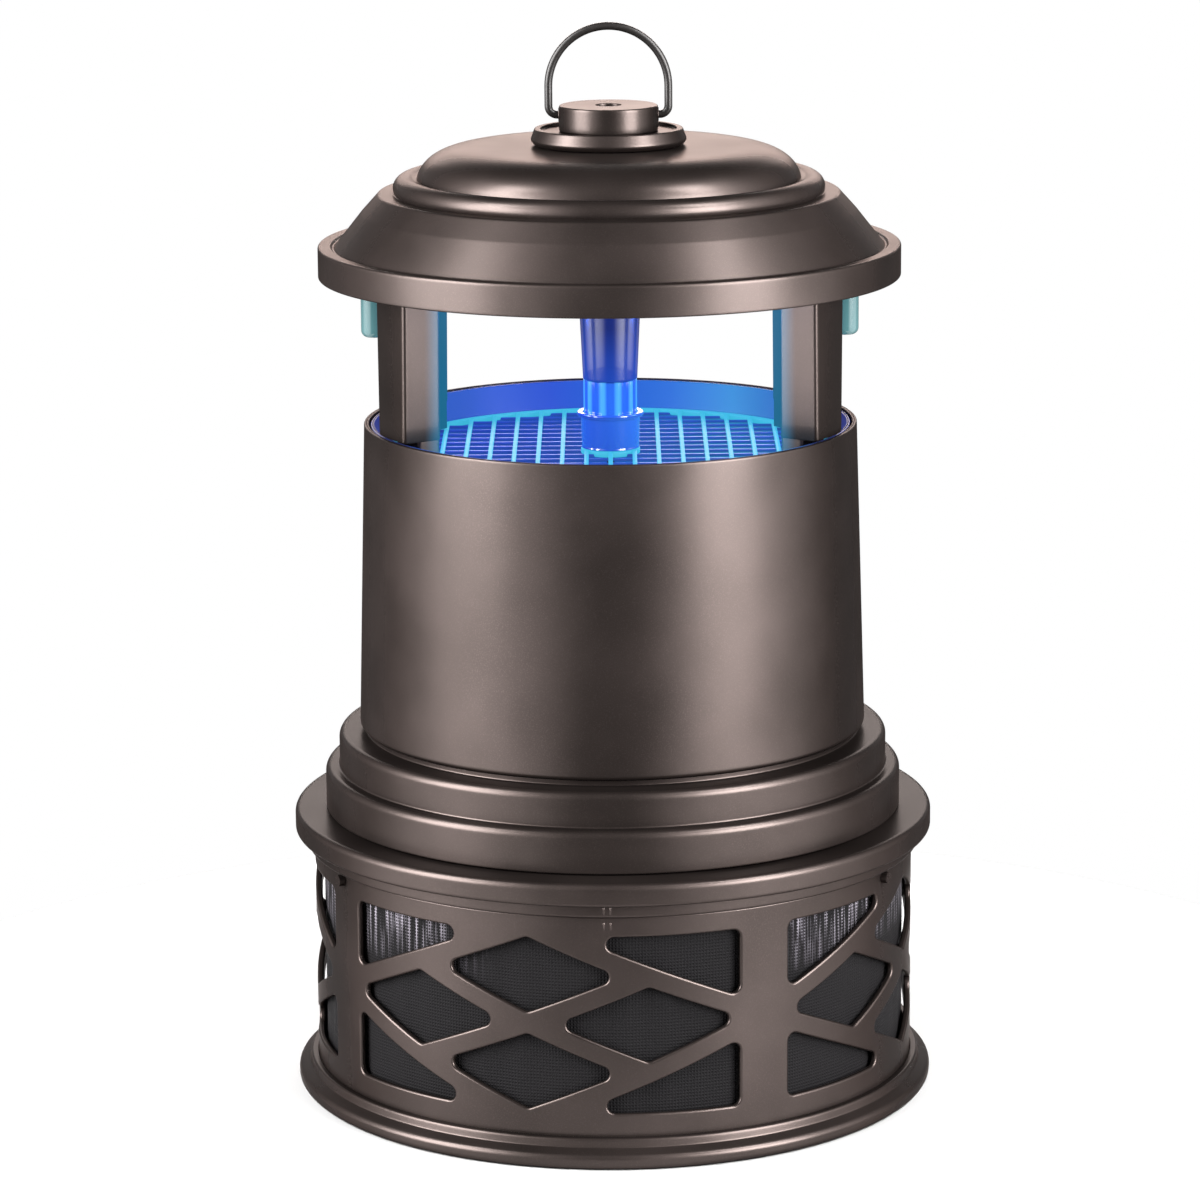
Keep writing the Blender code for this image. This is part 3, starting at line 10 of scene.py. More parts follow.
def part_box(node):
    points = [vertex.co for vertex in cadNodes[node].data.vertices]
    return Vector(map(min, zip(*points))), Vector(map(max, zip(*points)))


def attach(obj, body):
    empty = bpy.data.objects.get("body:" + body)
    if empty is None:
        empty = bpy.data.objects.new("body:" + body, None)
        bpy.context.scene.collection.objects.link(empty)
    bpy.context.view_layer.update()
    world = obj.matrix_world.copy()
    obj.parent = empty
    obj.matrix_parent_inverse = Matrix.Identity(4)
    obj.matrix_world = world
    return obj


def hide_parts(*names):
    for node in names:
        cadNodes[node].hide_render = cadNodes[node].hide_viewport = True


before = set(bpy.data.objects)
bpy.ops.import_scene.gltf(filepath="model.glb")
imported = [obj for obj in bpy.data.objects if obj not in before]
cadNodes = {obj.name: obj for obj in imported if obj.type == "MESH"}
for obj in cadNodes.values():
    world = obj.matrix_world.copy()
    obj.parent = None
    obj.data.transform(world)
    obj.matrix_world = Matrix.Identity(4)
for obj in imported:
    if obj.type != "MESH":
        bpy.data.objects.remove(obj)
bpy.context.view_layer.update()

finished = set()

# camera and light

view = {"distance": 2.1733, "height": 0.7146, "pitch": 12.49, "roll": 0.37, "lens": 140.0,
        "sensor": 36.0, "shift": -0.0042}

camera = bpy.data.cameras.new("camera")
camera.lens = view["lens"]
camera.sensor_width = view["sensor"]
camera.shift_x = view["shift"]
eye = bpy.data.objects.new("camera", camera)
bpy.context.scene.collection.objects.link(eye)
eye.location = (0.0, -view["distance"], view["height"])
eye.rotation_euler = (math.radians(90.0 - view["pitch"]), math.radians(view["roll"]), 0.0)
bpy.context.scene.camera = eye
bpy.context.scene.view_settings.view_transform = "Standard"


def toLinear(hexText):
    # sRGB hex to linear red, green, blue, alpha
    parts = np.array([int(hexText[i:i + 2], 16) for i in (1, 3, 5)]) / 255.0
    low = parts / 12.92
    high = ((parts + 0.055) / 1.055) ** 2.4
    return (*np.where(parts <= 0.04045, low, high), 1.0)


def addNode(tree, kind, settings=None, **links):
    # one node, its settings by attribute or by input name, and its links by input name
    node = tree.nodes.new(kind)
    for key, value in (settings or {}).items():
        if hasattr(node, key):
            setattr(node, key, value)
        else:
            node.inputs[key].default_value = value
    for key, source in links.items():
        name = key.replace("_", " ")
        tree.links.new(source, node.inputs[int(key[1:])] if key[1:].isdigit() else node.inputs[name])
    return node


def newMaterial(name):
    material = bpy.data.materials.new(name)
    material.use_nodes = True
    tree = material.node_tree
    shader = tree.nodes["Principled BSDF"]
    return material, tree, shader


def setShader(shader, values):
    for key, value in values.items():
        shader.inputs[key].default_value = value


lights = {
    "left": {"at": (-2.56, -1.14, 0.90), "aim": (0, 0, 0.26), "size": (1.9, 1.8), "power": 330.0},
    "right": {"at": (2.24, -1.69, 0.90), "aim": (0, 0, 0.26), "size": (1.5, 1.8), "power": 340.0},
    "back": {"at": (0.0, 3.2, 1.35), "aim": (0, 0, 0.45), "size": (2.6, 0.9), "power": 72.0,
             "colour": "#ffece4"},
    "highLeft": {"at": (-2.2, -0.75, 2.25), "aim": (0, 0, 0.4), "size": (0.9, 1.3), "power": 135.0},
    "highRight": {"at": (1.85, -0.95, 2.4), "aim": (0, 0, 0.4), "size": (0.8, 1.2), "power": 125.0},
}


def addArea(name, at, aim, size, power, colour="#ffffff"):
    # a rectangular light, hidden from the camera
    lamp = bpy.data.lights.new(name, "AREA")
    lamp.shape = "RECTANGLE"
    lamp.size, lamp.size_y = size
    lamp.energy = power
    lamp.color = toLinear(colour)[:3]
    thing = bpy.data.objects.new(name, lamp)
    thing.location = at
    thing.rotation_euler = (Vector(aim) - Vector(at)).to_track_quat("-Z", "Y").to_euler()
    thing.visible_camera = False
    bpy.context.scene.collection.objects.link(thing)
    return thing


for lightName, light in lights.items():
    addArea("softbox_" + lightName, **light)

sky = {"white": "#ffffff", "side": 2.9, "rearShare": 0.12, "dark": 0.055, "back": 1.25, "shown": 1.0}


def remap(tree, source, low, high, start=0.0, end=1.0, smooth=False):
    # one value carried from a range to another, held at both ends
    kind = "SMOOTHSTEP" if smooth else "LINEAR"
    values = {"interpolation_type": kind, "From Min": low, "From Max": high, "To Min": start, "To Max": end}
    return addNode(tree, "ShaderNodeMapRange", values, i0=source).outputs[0]


def combine(tree, operation, first, second=None):
    # two values put together, where the second may be a plain number or absent
    node = addNode(tree, "ShaderNodeMath", {"operation": operation}, i0=first)
    if isinstance(second, float):
        node.inputs[1].default_value = second
    elif second is not None:
        tree.links.new(second, node.inputs[1])
    return node.outputs[0]


def twoTones(tree, share, first, last, span=(0.0, 1.0)):
    # a colour between two, by a share; the span says where the change begins and ends
    tone = addNode(tree, "ShaderNodeValToRGB", None, Fac=share)
    for mark, colour, at in zip(tone.color_ramp.elements, (first, last), span):
        mark.color = toLinear(colour)
        mark.position = at
    return tone.outputs[0]


def objectSpot(tree):
    # the object's own coordinates, whole and split into X, Y and Z
    spot = addNode(tree, "ShaderNodeTexCoord").outputs["Object"]
    return spot, addNode(tree, "ShaderNodeSeparateXYZ", Vector=spot).outputs


def addNoise(tree, spot, scale, detail=2.0, **values):
    settings = {"Scale": scale, "Detail": detail, **values}
    return addNode(tree, "ShaderNodeTexNoise", settings, Vector=spot).outputs["Fac"]


def addBump(tree, shader, height, strength, distance):
    bump = addNode(tree, "ShaderNodeBump", {"Strength": strength, "Distance": distance}, Height=height)
    tree.links.new(bump.outputs[0], shader.inputs["Normal"])


def makeSky():
    # a studio tent: tall pale walls left and right, dark in front and overhead, pale low down behind;
    # white where the camera looks past the object
    world = bpy.data.worlds.new("studio")
    bpy.context.scene.world = world
    world.use_nodes = True
    tree = world.node_tree
    tree.nodes.clear()
    direction = addNode(tree, "ShaderNodeTexCoord").outputs["Generated"]
    x, y, z = addNode(tree, "ShaderNodeSeparateXYZ", Vector=direction).outputs
    side = combine(tree, "ABSOLUTE", x)
    wall = combine(tree, "MULTIPLY", remap(tree, side, 0.25, 0.62, 0.0, sky["side"], True),
                   remap(tree, y, -0.1, 0.45, 1.0, sky["rearShare"], True))
    behind = combine(tree, "MULTIPLY", remap(tree, y, 0.72, 0.95, 0.0, sky["back"], True),
                     remap(tree, z, -0.04, 0.12, smooth=True))
    level = combine(tree, "ADD", combine(tree, "ADD", wall, behind), sky["dark"])
    tent = addNode(tree, "ShaderNodeBackground", {"Color": toLinear(sky["white"])}, Strength=level)
    plain = addNode(tree, "ShaderNodeBackground", {"Color": toLinear(sky["white"]), "Strength": sky["shown"]})
    path = addNode(tree, "ShaderNodeLightPath")
    mixed = addNode(tree, "ShaderNodeMixShader", None, Fac=path.outputs["Is Camera Ray"],
                    i1=tent.outputs[0], i2=plain.outputs[0])
    addNode(tree, "ShaderNodeOutputWorld", None, Surface=mixed.outputs[0])


makeSky()
print("studio ready")

# surfaces


def softCorners(corners, steps=6, support=0.0006):
    # corners are (r, z, fillet); each fillet is an arc tangent to both sides, with a support point
    # on the straight run beside it so that the shading stays flat there
    corners = [c if len(c) == 3 else (*c, 0.0) for c in corners]
    points = []
    for index, (x, y, fillet) in enumerate(corners):
        here = np.array((x, y))
        toBack = np.array(corners[index - 1][:2]) - here
        toAhead = np.array(corners[(index + 1) % len(corners)][:2]) - here
        lengths = np.linalg.norm(toBack), np.linalg.norm(toAhead)
        back, ahead = toBack / lengths[0], toAhead / lengths[1]
        half = math.acos(np.clip(back @ ahead, -1.0, 1.0)) / 2.0
        reach = fillet / math.tan(half)
        edge = min(support, lengths[0] / 3.0, lengths[1] / 3.0)
        points.append(here + back * (reach + edge))
        if fillet > 0.0:
            centre = here + (back + ahead) / np.linalg.norm(back + ahead) * fillet / math.sin(half)
            first = here + back * reach - centre
            last = here + ahead * reach - centre
            turn = math.atan2(first[0] * last[1] - first[1] * last[0], first @ last)
            angles = turn * np.linspace(0.0, 1.0, steps + 1)
            cosines, sines = np.cos(angles), np.sin(angles)
            arc = np.stack([first[0] * cosines - first[1] * sines, first[0] * sines + first[1] * cosines], 1)
            points.extend(centre + arc)
        else:
            points.append(here)
        points.append(here + ahead * (reach + edge))
    return np.array(points)


def gridFaces(rows, columns, wrapRows, wrapColumns):
    # quads over a grid of rows x columns, joined back to the start where it wraps
    i = np.arange(rows if wrapRows else rows - 1)
    j = np.arange(columns if wrapColumns else columns - 1)
    i, j = [a.ravel() for a in np.meshgrid(i, j, indexing="ij")]
    nextI, nextJ = (i + 1) % rows, (j + 1) % columns
    return np.stack([i * columns + j, i * columns + nextJ, nextI * columns + nextJ, nextI * columns + j], 1)


def outward(verts, faces):
    # faces turned so that the closed surface has a positive volume
    a, b, c, d = (verts[faces[:, k]] for k in range(4))
    volume = np.einsum("ij,ij->", a, np.cross(b, c)) + np.einsum("ij,ij->", a, np.cross(c, d))
    return faces if volume > 0 else faces[:, ::-1]


def closedTube(verts, rows, columns):
    # faces of a tube of rings, with a flat face across each end
    faces = outward(verts, gridFaces(rows, columns, False, True)).tolist()
    first, last = list(range(columns)), list(range((rows - 1) * columns, rows * columns))
    kept = faces[0][1] - faces[0][0] == 1
    return faces + [first[::-1] if kept else first, last if kept else last[::-1]]


def addObject(name, mesh):
    thing = bpy.data.objects.new(name, mesh)
    bpy.context.scene.collection.objects.link(thing)
    return thing


def makePiece(name, verts, faces, sharp=40.0):
    mesh = bpy.data.meshes.new(name)
    mesh.from_pydata(verts.tolist(), [], faces if isinstance(faces, list) else faces.tolist())
    mesh.update()
    mesh.shade_smooth()
    mesh.set_sharp_from_angle(angle=math.radians(sharp))
    return addObject(name, mesh)


def turned(name, profile, sides, centre=(0.0, 0.0), sharp=40.0):
    # a closed (r, z) profile carried once round a vertical axis
    angles = np.linspace(0.0, math.tau, sides, endpoint=False)
    radii, levels = np.array(profile)[:, :1], np.array(profile)[:, 1:]
    x = radii * np.cos(angles) + centre[0]
    y = radii * np.sin(angles) + centre[1]
    z = levels + 0.0 * angles
    verts = np.stack([x, y, z], 2).reshape(-1, 3)
    return makePiece(name, verts, outward(verts, gridFaces(len(radii), sides, True, True)), sharp)


def swept(name, path, section):
    # a closed section of (side, up) offsets carried along a path; each ring stands square to the path
    along = np.gradient(path, axis=0)
    along /= np.linalg.norm(along, axis=1)[:, None]
    up = np.cross(along, (0.0, 1.0, 0.0))
    up /= np.linalg.norm(up, axis=1)[:, None]
    side = np.cross(up, along)
    verts = path[:, None] + side[:, None] * section[None, :, :1] + up[:, None] * section[None, :, 1:]
    verts = verts.reshape(-1, 3)
    return makePiece(name, verts, closedTube(verts, len(path), len(section)))


def place(piece, body, slotName, material, *replaced):
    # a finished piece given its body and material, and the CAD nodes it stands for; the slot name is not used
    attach(piece, body)
    if replaced:
        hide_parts(*replaced)
        finished.update(replaced)
    piece.data.materials.clear()
    piece.data.materials.append(material)


def joinPieces(name, pieces):
    # several finished pieces made one object, as separate closed shells
    shape = bmesh.new()
    for piece in pieces:
        shape.from_mesh(piece.data)
        bpy.data.objects.remove(piece)
    mesh = bpy.data.meshes.new(name)
    shape.to_mesh(mesh)
    shape.free()
    return addObject(name, mesh)


# materials

paint = {"base": "#38312f", "deep": "#2f2927", "warm": "#4b4340", "edge": "#8f8580", "metallic": 0.90,
         "roughness": 0.33, "peel": 0.0016, "flake": 0.0005}


def makeBronzePaint(name="bronzeMetallicPaint"):
    # bronze metallic paint on moulded ABS, sprayed: satin, with fine flake, faint cloudiness
    # from the spray and a slight orange peel that breaks up the highlights
    material, tree, shader = newMaterial(name)
    spot, _ = objectSpot(tree)
    cloud = addNoise(tree, spot, 14.0, 3.0, Roughness=0.5)
    flake = addNoise(tree, spot, 1.0 / paint["flake"])
    tone = twoTones(tree, cloud, paint["deep"], paint["base"], (0.32, 0.70))
    glint = remap(tree, flake, 0.52, 0.78, 0.0, 0.38)
    mixed = addNode(tree, "ShaderNodeMix", {"data_type": "RGBA"}, i0=glint, i6=tone)
    mixed.inputs[7].default_value = toLinear(paint["warm"])
    tree.links.new(mixed.outputs[2], shader.inputs["Base Color"])
    rough = remap(tree, cloud, 0.3, 0.7, paint["roughness"] - 0.03, paint["roughness"] + 0.05)
    tree.links.new(rough, shader.inputs["Roughness"])
    addBump(tree, shader, addNoise(tree, spot, 1.0 / paint["peel"], 1.0), 0.10, 0.0001)
    setShader(shader, {"Metallic": paint["metallic"], "Specular Tint": toLinear(paint["edge"]),
                       "Coat Weight": 0.06, "Coat Roughness": 0.25})
    return material


spill = {"from": 0.0945, "to": 0.1035, "colour": "#1c86b4", "strength": 0.55}


def makeLitPaint():
    # the same paint where the lamps shine on it: blue light spilt over the edge nearest the axis
    material = makeBronzePaint("bronzePaintInLampLight")
    tree, shader = material.node_tree, material.node_tree.nodes["Principled BSDF"]
    spot, _ = objectSpot(tree)
    flat = addNode(tree, "ShaderNodeVectorMath", {"operation": "MULTIPLY"}, i0=spot)
    flat.inputs[1].default_value = (1.0, 1.0, 0.0)
    reach = addNode(tree, "ShaderNodeVectorMath", {"operation": "LENGTH"}, i0=flat.outputs[0])
    near = remap(tree, reach.outputs["Value"], spill["from"], spill["to"], spill["strength"], 0.0, True)
    tree.links.new(near, shader.inputs["Emission Strength"])
    shader.inputs["Emission Color"].default_value = toLinear(spill["colour"])
    return material


grain = {"size": 0.0012, "depth": 0.00008, "strength": 0.25, "litScale": 900.0, "litStrength": 0.2}


def makePlain(name, colour, dark, values):
    # a moulded or plated surface: two close tones in a fine grain, with the same grain as bump
    material, tree, shader = newMaterial(name)
    spot, _ = objectSpot(tree)
    noise = addNoise(tree, spot, 1.0 / grain["size"])
    tree.links.new(twoTones(tree, noise, dark, colour, (0.35, 0.65)), shader.inputs["Base Color"])
    addBump(tree, shader, noise, grain["strength"], grain["depth"])
    setShader(shader, values)
    return material


def makeLit(name, body, glow, stops, values, along="X"):
    # moulded plastic steeped in lamp light: a dark body colour, and a glow whose colour runs through
    # the stops, given as (metres along the axis, colour)
    material, tree, shader = newMaterial(name)
    spot, parts = objectSpot(tree)
    low, high = stops[0][0], stops[-1][0]
    share = remap(tree, parts[along], low, high)
    tone = addNode(tree, "ShaderNodeValToRGB", None, Fac=share)
    marks = tone.color_ramp.elements
    marks[0].color, marks[1].color = toLinear(stops[0][1]), toLinear(stops[-1][1])
    for spotAt, colour in stops[1:-1]:
        marks.new((spotAt - low) / (high - low)).color = toLinear(colour)
    tree.links.new(tone.outputs[0], shader.inputs["Emission Color"])
    noise = addNoise(tree, spot, grain["litScale"])
    shade = addNode(tree, "ShaderNodeValToRGB", None, Fac=noise)
    for mark, level in zip(shade.color_ramp.elements, (1.0, 1.25)):
        mark.color = tuple(level * c for c in toLinear(body)[:3]) + (1.0,)
    tree.links.new(shade.outputs[0], shader.inputs["Base Color"])
    addBump(tree, shader, noise, grain["litStrength"], grain["depth"])
    setShader(shader, {**values, "Emission Strength": glow})
    return material


column = {"ribs": 10, "ribDepth": 0.0006, "cup": 0.0139, "cupWaist": 0.0136, "bore": 0.0130,
          "screwHole": 0.0040, "sleeveWall": 0.0018, "tubeWall": 0.0020}


def makeClear():
    # clear polycarbonate sleeve, lit from inside: bright upright ribs over a deeper blue
    material, tree, shader = newMaterial("clearPolycarbonate")
    _, parts = objectSpot(tree)
    turn = combine(tree, "ARCTAN2", parts["Y"], parts["X"])
    wave = combine(tree, "COSINE", combine(tree, "MULTIPLY", turn, float(column["ribs"])))
    tone = twoTones(tree, remap(tree, wave, -1.0, 1.0), "#2a54c0", "#5cc0f2", (0.35, 0.95))
    tree.links.new(tone, shader.inputs["Emission Color"])
    setShader(shader, {"Base Color": toLinear("#0c3470"), "Roughness": 0.10, "Coat Weight": 0.5,
                       "Emission Strength": 0.70})
    return material


weave = {"pitch": 0.0015, "black": "#0c0b0c", "shine": "#77727a", "stretch": 0.05, "sheenStreakScale": 420.0,
         "streakLow": 0.082, "streakHigh": 0.108, "flankFrom": 0.055, "flankTo": 0.085}


def makeScreenCloth():
    # woven glass-fibre insect screen with a black vinyl coat; the real threads stand about 1.2 mm
    # apart and are drawn 1.5 mm apart so that the weave shows
    material, tree, shader = newMaterial("wovenInsectScreen")
    spot = addNode(tree, "ShaderNodeUVMap", {"uv_map": "arc"}).outputs[0]
    parts = addNode(tree, "ShaderNodeSeparateXYZ", Vector=spot).outputs
    threads = [combine(tree, "SINE", combine(tree, "MULTIPLY", parts[axis], math.tau / weave["pitch"]))
               for axis in ("X", "Y")]
    over = combine(tree, "MAXIMUM", *threads)
    # painted highlight: upright streaks of light, as slack folds in the cloth would catch it, near the top
    # and towards the sides
    stretch = addNode(tree, "ShaderNodeMapping", {"Scale": (1.0, weave["stretch"], 1.0)}, Vector=spot)
    shine = remap(tree, addNoise(tree, stretch.outputs[0], weave["sheenStreakScale"], 3.0), 0.48, 0.66)
    high = remap(tree, parts["Y"], weave["streakLow"], weave["streakHigh"])
    aside = combine(tree, "ABSOLUTE", objectSpot(tree)[1]["X"])
    flank = remap(tree, aside, weave["flankFrom"], weave["flankTo"])
    lift = combine(tree, "MULTIPLY", combine(tree, "MULTIPLY", shine, high), flank)
    amount = combine(tree, "MULTIPLY", lift, remap(tree, over, -0.2, 0.8))
    tree.links.new(twoTones(tree, amount, weave["black"], weave["shine"]), shader.inputs["Base Color"])
    addBump(tree, shader, over, 0.6, 0.0003)
    setShader(shader, {"Roughness": 0.70, "Specular IOR Level": 0.05})
    return material


def makeLampGlass():
    # phosphor-coated tube, lit: pale teal, a little brighter towards its foot
    material, tree, shader = newMaterial("litLampGlass")
    share = remap(tree, objectSpot(tree)[1]["Z"], 0.358, 0.390)
    tree.links.new(twoTones(tree, share, "#77a5a9", "#5c9095"), shader.inputs["Emission Color"])
    setShader(shader, {"Base Color": toLinear("#223c3e"), "Roughness": 0.10, "Emission Strength": 0.32,
                       "Coat Weight": 0.6})
    return material


finishes = {
    "bronze": makeBronzePaint(),
    "litPaint": makeLitPaint(),
    "black": makePlain("satinBlackAbs", "#232224", "#1a191b", {"Roughness": 0.5}),
    "screen": makeScreenCloth(),
    "steel": makePlain("zincPlatedSteel", "#b3b4b5", "#8f9194", {"Roughness": 0.34, "Metallic": 1.0}),
    "wire": makePlain("blackLacqueredWire", "#161312", "#100e0d", {"Roughness": 0.38, "Metallic": 0.5}),
    "blue": makeLit("funnelPolypropylene", "#06164a", 0.72,
                    [(-0.110, "#2c2829"), (-0.094, "#2a2d40"), (-0.086, "#2a62bc"), (-0.030, "#2450b8"),
                     (0.030, "#2a78c4"), (0.060, "#2f9cc8"), (0.086, "#2a74bc"), (0.094, "#2a2d40"),
                     (0.110, "#2c2829")],
                    {"Roughness": 0.50, "Specular IOR Level": 0.2}),
    "guard": makeLit("guardPolypropylene", "#052630", 0.90, [(-0.11, "#3fbcda"), (0.11, "#42c2e6")],
                     {"Roughness": 0.62, "Specular IOR Level": 0.2}),
    "cross": makeLit("crossBarPolypropylene", "#08184e", 0.50, [(-0.11, "#3450c8"), (0.11, "#3a78c8")],
                     {"Roughness": 0.32}),
    "clear": makeClear(),
    "cup": makeLit("cupPolypropylene", "#08205c", 0.62, [(-0.015, "#2440bc"), (0.015, "#3c7cd6")],
                   {"Roughness": 0.16, "Coat Weight": 0.4}),
    "tube": makeLit("columnPolypropylene", "#060f38", 0.55,
                    [(0.340, "#1f4fc4"), (0.352, "#1e46ac"), (0.366, "#16285c"), (0.392, "#0f1c48")],
                    {"Roughness": 0.22, "Coat Weight": 0.4}, "Z"),
    "lamp": makeLampGlass(),
    "cap": makePlain("whitePbt", "#cfcfca", "#c0c0bb", {"Roughness": 0.42}),
    "board": makePlain("epoxyLaminate", "#2a6b43", "#1f5535", {"Roughness": 0.45}),
    "rubber": makePlain("nitrileRubber", "#1c1c1c", "#121212", {"Roughness": 0.8}),
    "fan": makePlain("blackNylon", "#2b2d31", "#1f2125", {"Roughness": 0.48}),
}
print("materials ready")


def finishNode(name, material):
    # a CAD node whose shape is right keeps it and takes a better finish
    data = cadNodes[name].data
    data.materials.clear()
    data.materials.append(material)
    finished.add(name)


# floor

axisGap = 0.00001  # radius of the pinhole left at the middle of a turned disc
table = {"radius": 0.42, "thick": 0.003, "pale": "#9c9c9c", "light": "#a2a2a2"}


def makeFloor():
    material, tree, shader = newMaterial("paleStudioFloor")
    noise = addNoise(tree, objectSpot(tree)[0], 3.0)
    tree.links.new(twoTones(tree, noise, table["pale"], table["light"]), shader.inputs["Base Color"])
    setShader(shader, {"Roughness": 0.9, "Specular IOR Level": 0.1})
    # a round table top just large enough to hold the soft shadow
    radius, under = table["radius"], -table["thick"]
    profile = [(axisGap, 0.0), (radius, 0.0), (radius, under), (axisGap, under)]
    floor = turned("studio_floor", profile, 96)
    floor.data.materials.append(material)


makeFloor()

# foot and basket

foot = {"shoulderDrop": 0.0044, "bead": 0.00288, "stepWidth": 0.0060, "lip": 0.0012, "innerInset": 0.0075,
        "floorLevel": 0.0050, "seatDepth": 0.0030, "seatWidth": 0.0033}


def makeFootRing():
    low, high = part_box("base_ring")
    radius, top = high.x, high.z
    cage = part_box("basket_cage")[1].x
    shoulder = top - foot["shoulderDrop"]
    inner = cage - foot["innerInset"]
    seat = top - foot["seatDepth"]
    level = foot["floorLevel"]
    profile = softCorners([
        (radius - 0.0026, low.z, 0.0006),
        (radius, shoulder * 0.22, 0.0028),
        (radius, shoulder * 0.74, foot["bead"]),
        (radius - foot["stepWidth"] + 0.0006, shoulder + 0.0004, 0.0007),
        (radius - foot["stepWidth"], top, foot["lip"]),
        (cage + 0.0003, top, 0.0002),
        (cage + 0.0003, seat),
        (cage - foot["seatWidth"], seat),
        (cage - foot["seatWidth"], top, 0.0003),
        (inner, top, 0.0004),
        (inner, level, 0.0002),
        (inner - 0.0050, level, 0.0003),
        (inner - 0.0050, low.z, 0.0003),
    ], steps=7)
    place(turned("foot_ring", profile, 200), "basket", "bronze", finishes["bronze"], "base_ring")


makeFootRing()

lattice = {"bays": 4, "firstBay": -106.1, "barHalf": 5.1, "band": 0.0100, "height": 0.0840, "overrun": 0.0040,
           "strip": 0.0094, "fillet": 0.0036, "bevel": 0.0011, "columns": 60, "wall": 0.0030}


def windowOutlines(radius):
    # per bay, in (arc, z) about the bay's centre: four diamonds inside a rhombus of strips,
    # and a right-angled triangle in each corner
    reach = radius * math.pi / lattice["bays"]
    rise = lattice["height"] / 2.0 + lattice["overrun"]
    slope = math.atan2(rise, reach)
    half = lattice["strip"] / 2.0
    wide, tall = reach / 2.0 - half / math.sin(slope), rise / 2.0 - half / math.cos(slope)
    outlines = [[(x - wide, z), (x, z - tall), (x + wide, z), (x, z + tall)]
                for x, z in ((0, rise / 2), (0, -rise / 2), (-reach / 2, 0), (reach / 2, 0))]
    edge = radius * (math.pi / lattice["bays"] - math.radians(lattice["barHalf"]))
    top, lift = lattice["height"] / 2.0, half / math.cos(slope)
    low = rise * (1.0 - edge / reach) + lift
    inner = reach * (1.0 - (top - lift) / rise)
    for side in (-1, 1):
        for up in (-1, 1):
            corners = [(side * edge, up * top), (side * edge, up * low), (side * inner, up * top)]
            outlines.append(corners if side * up > 0 else corners[::-1])
    return outlines


def denseLoop(corners, fillet, spacing=0.0022):
    # a rounded outline with even points on its straight runs and its outward normals
    rounded = softCorners([(*c, fillet) for c in corners], steps=7, support=0.0004)
    loop = []
    for index, point in enumerate(rounded):
        ahead = rounded[(index + 1) % len(rounded)]
        count = max(1, int(np.linalg.norm(ahead - point) / spacing))
        loop.extend(point + (ahead - point) * step / count for step in range(count))
    loop = np.array(loop)
    area = np.sum(loop[:, 0] * np.roll(loop[:, 1], -1) - np.roll(loop[:, 0], -1) * loop[:, 1])
    loop = loop if area > 0 else loop[::-1]
    run = np.roll(loop, -1, 0) - np.roll(loop, 1, 0)
    normal = np.stack([run[:, 1], -run[:, 0]], 1)
    return loop, normal / np.linalg.norm(normal, axis=1)[:, None]


def insideAny(points, loops):
    # which points lie inside one of the loops, by counting crossings
    hit = np.zeros(len(points), bool)
    for loop in loops:
        x0, y0 = loop[:, 0], loop[:, 1]
        x1, y1 = np.roll(x0, -1), np.roll(y0, -1)
        px, py = points[:, :1], points[:, 1:]
        crosses = (y0 > py) != (y1 > py)
        with np.errstate(divide="ignore", invalid="ignore"):
            at = (x1 - x0) * (py - y0) / (y1 - y0) + x0
        hit |= (np.sum(crosses & (px < at), axis=1) % 2) == 1
    return hit


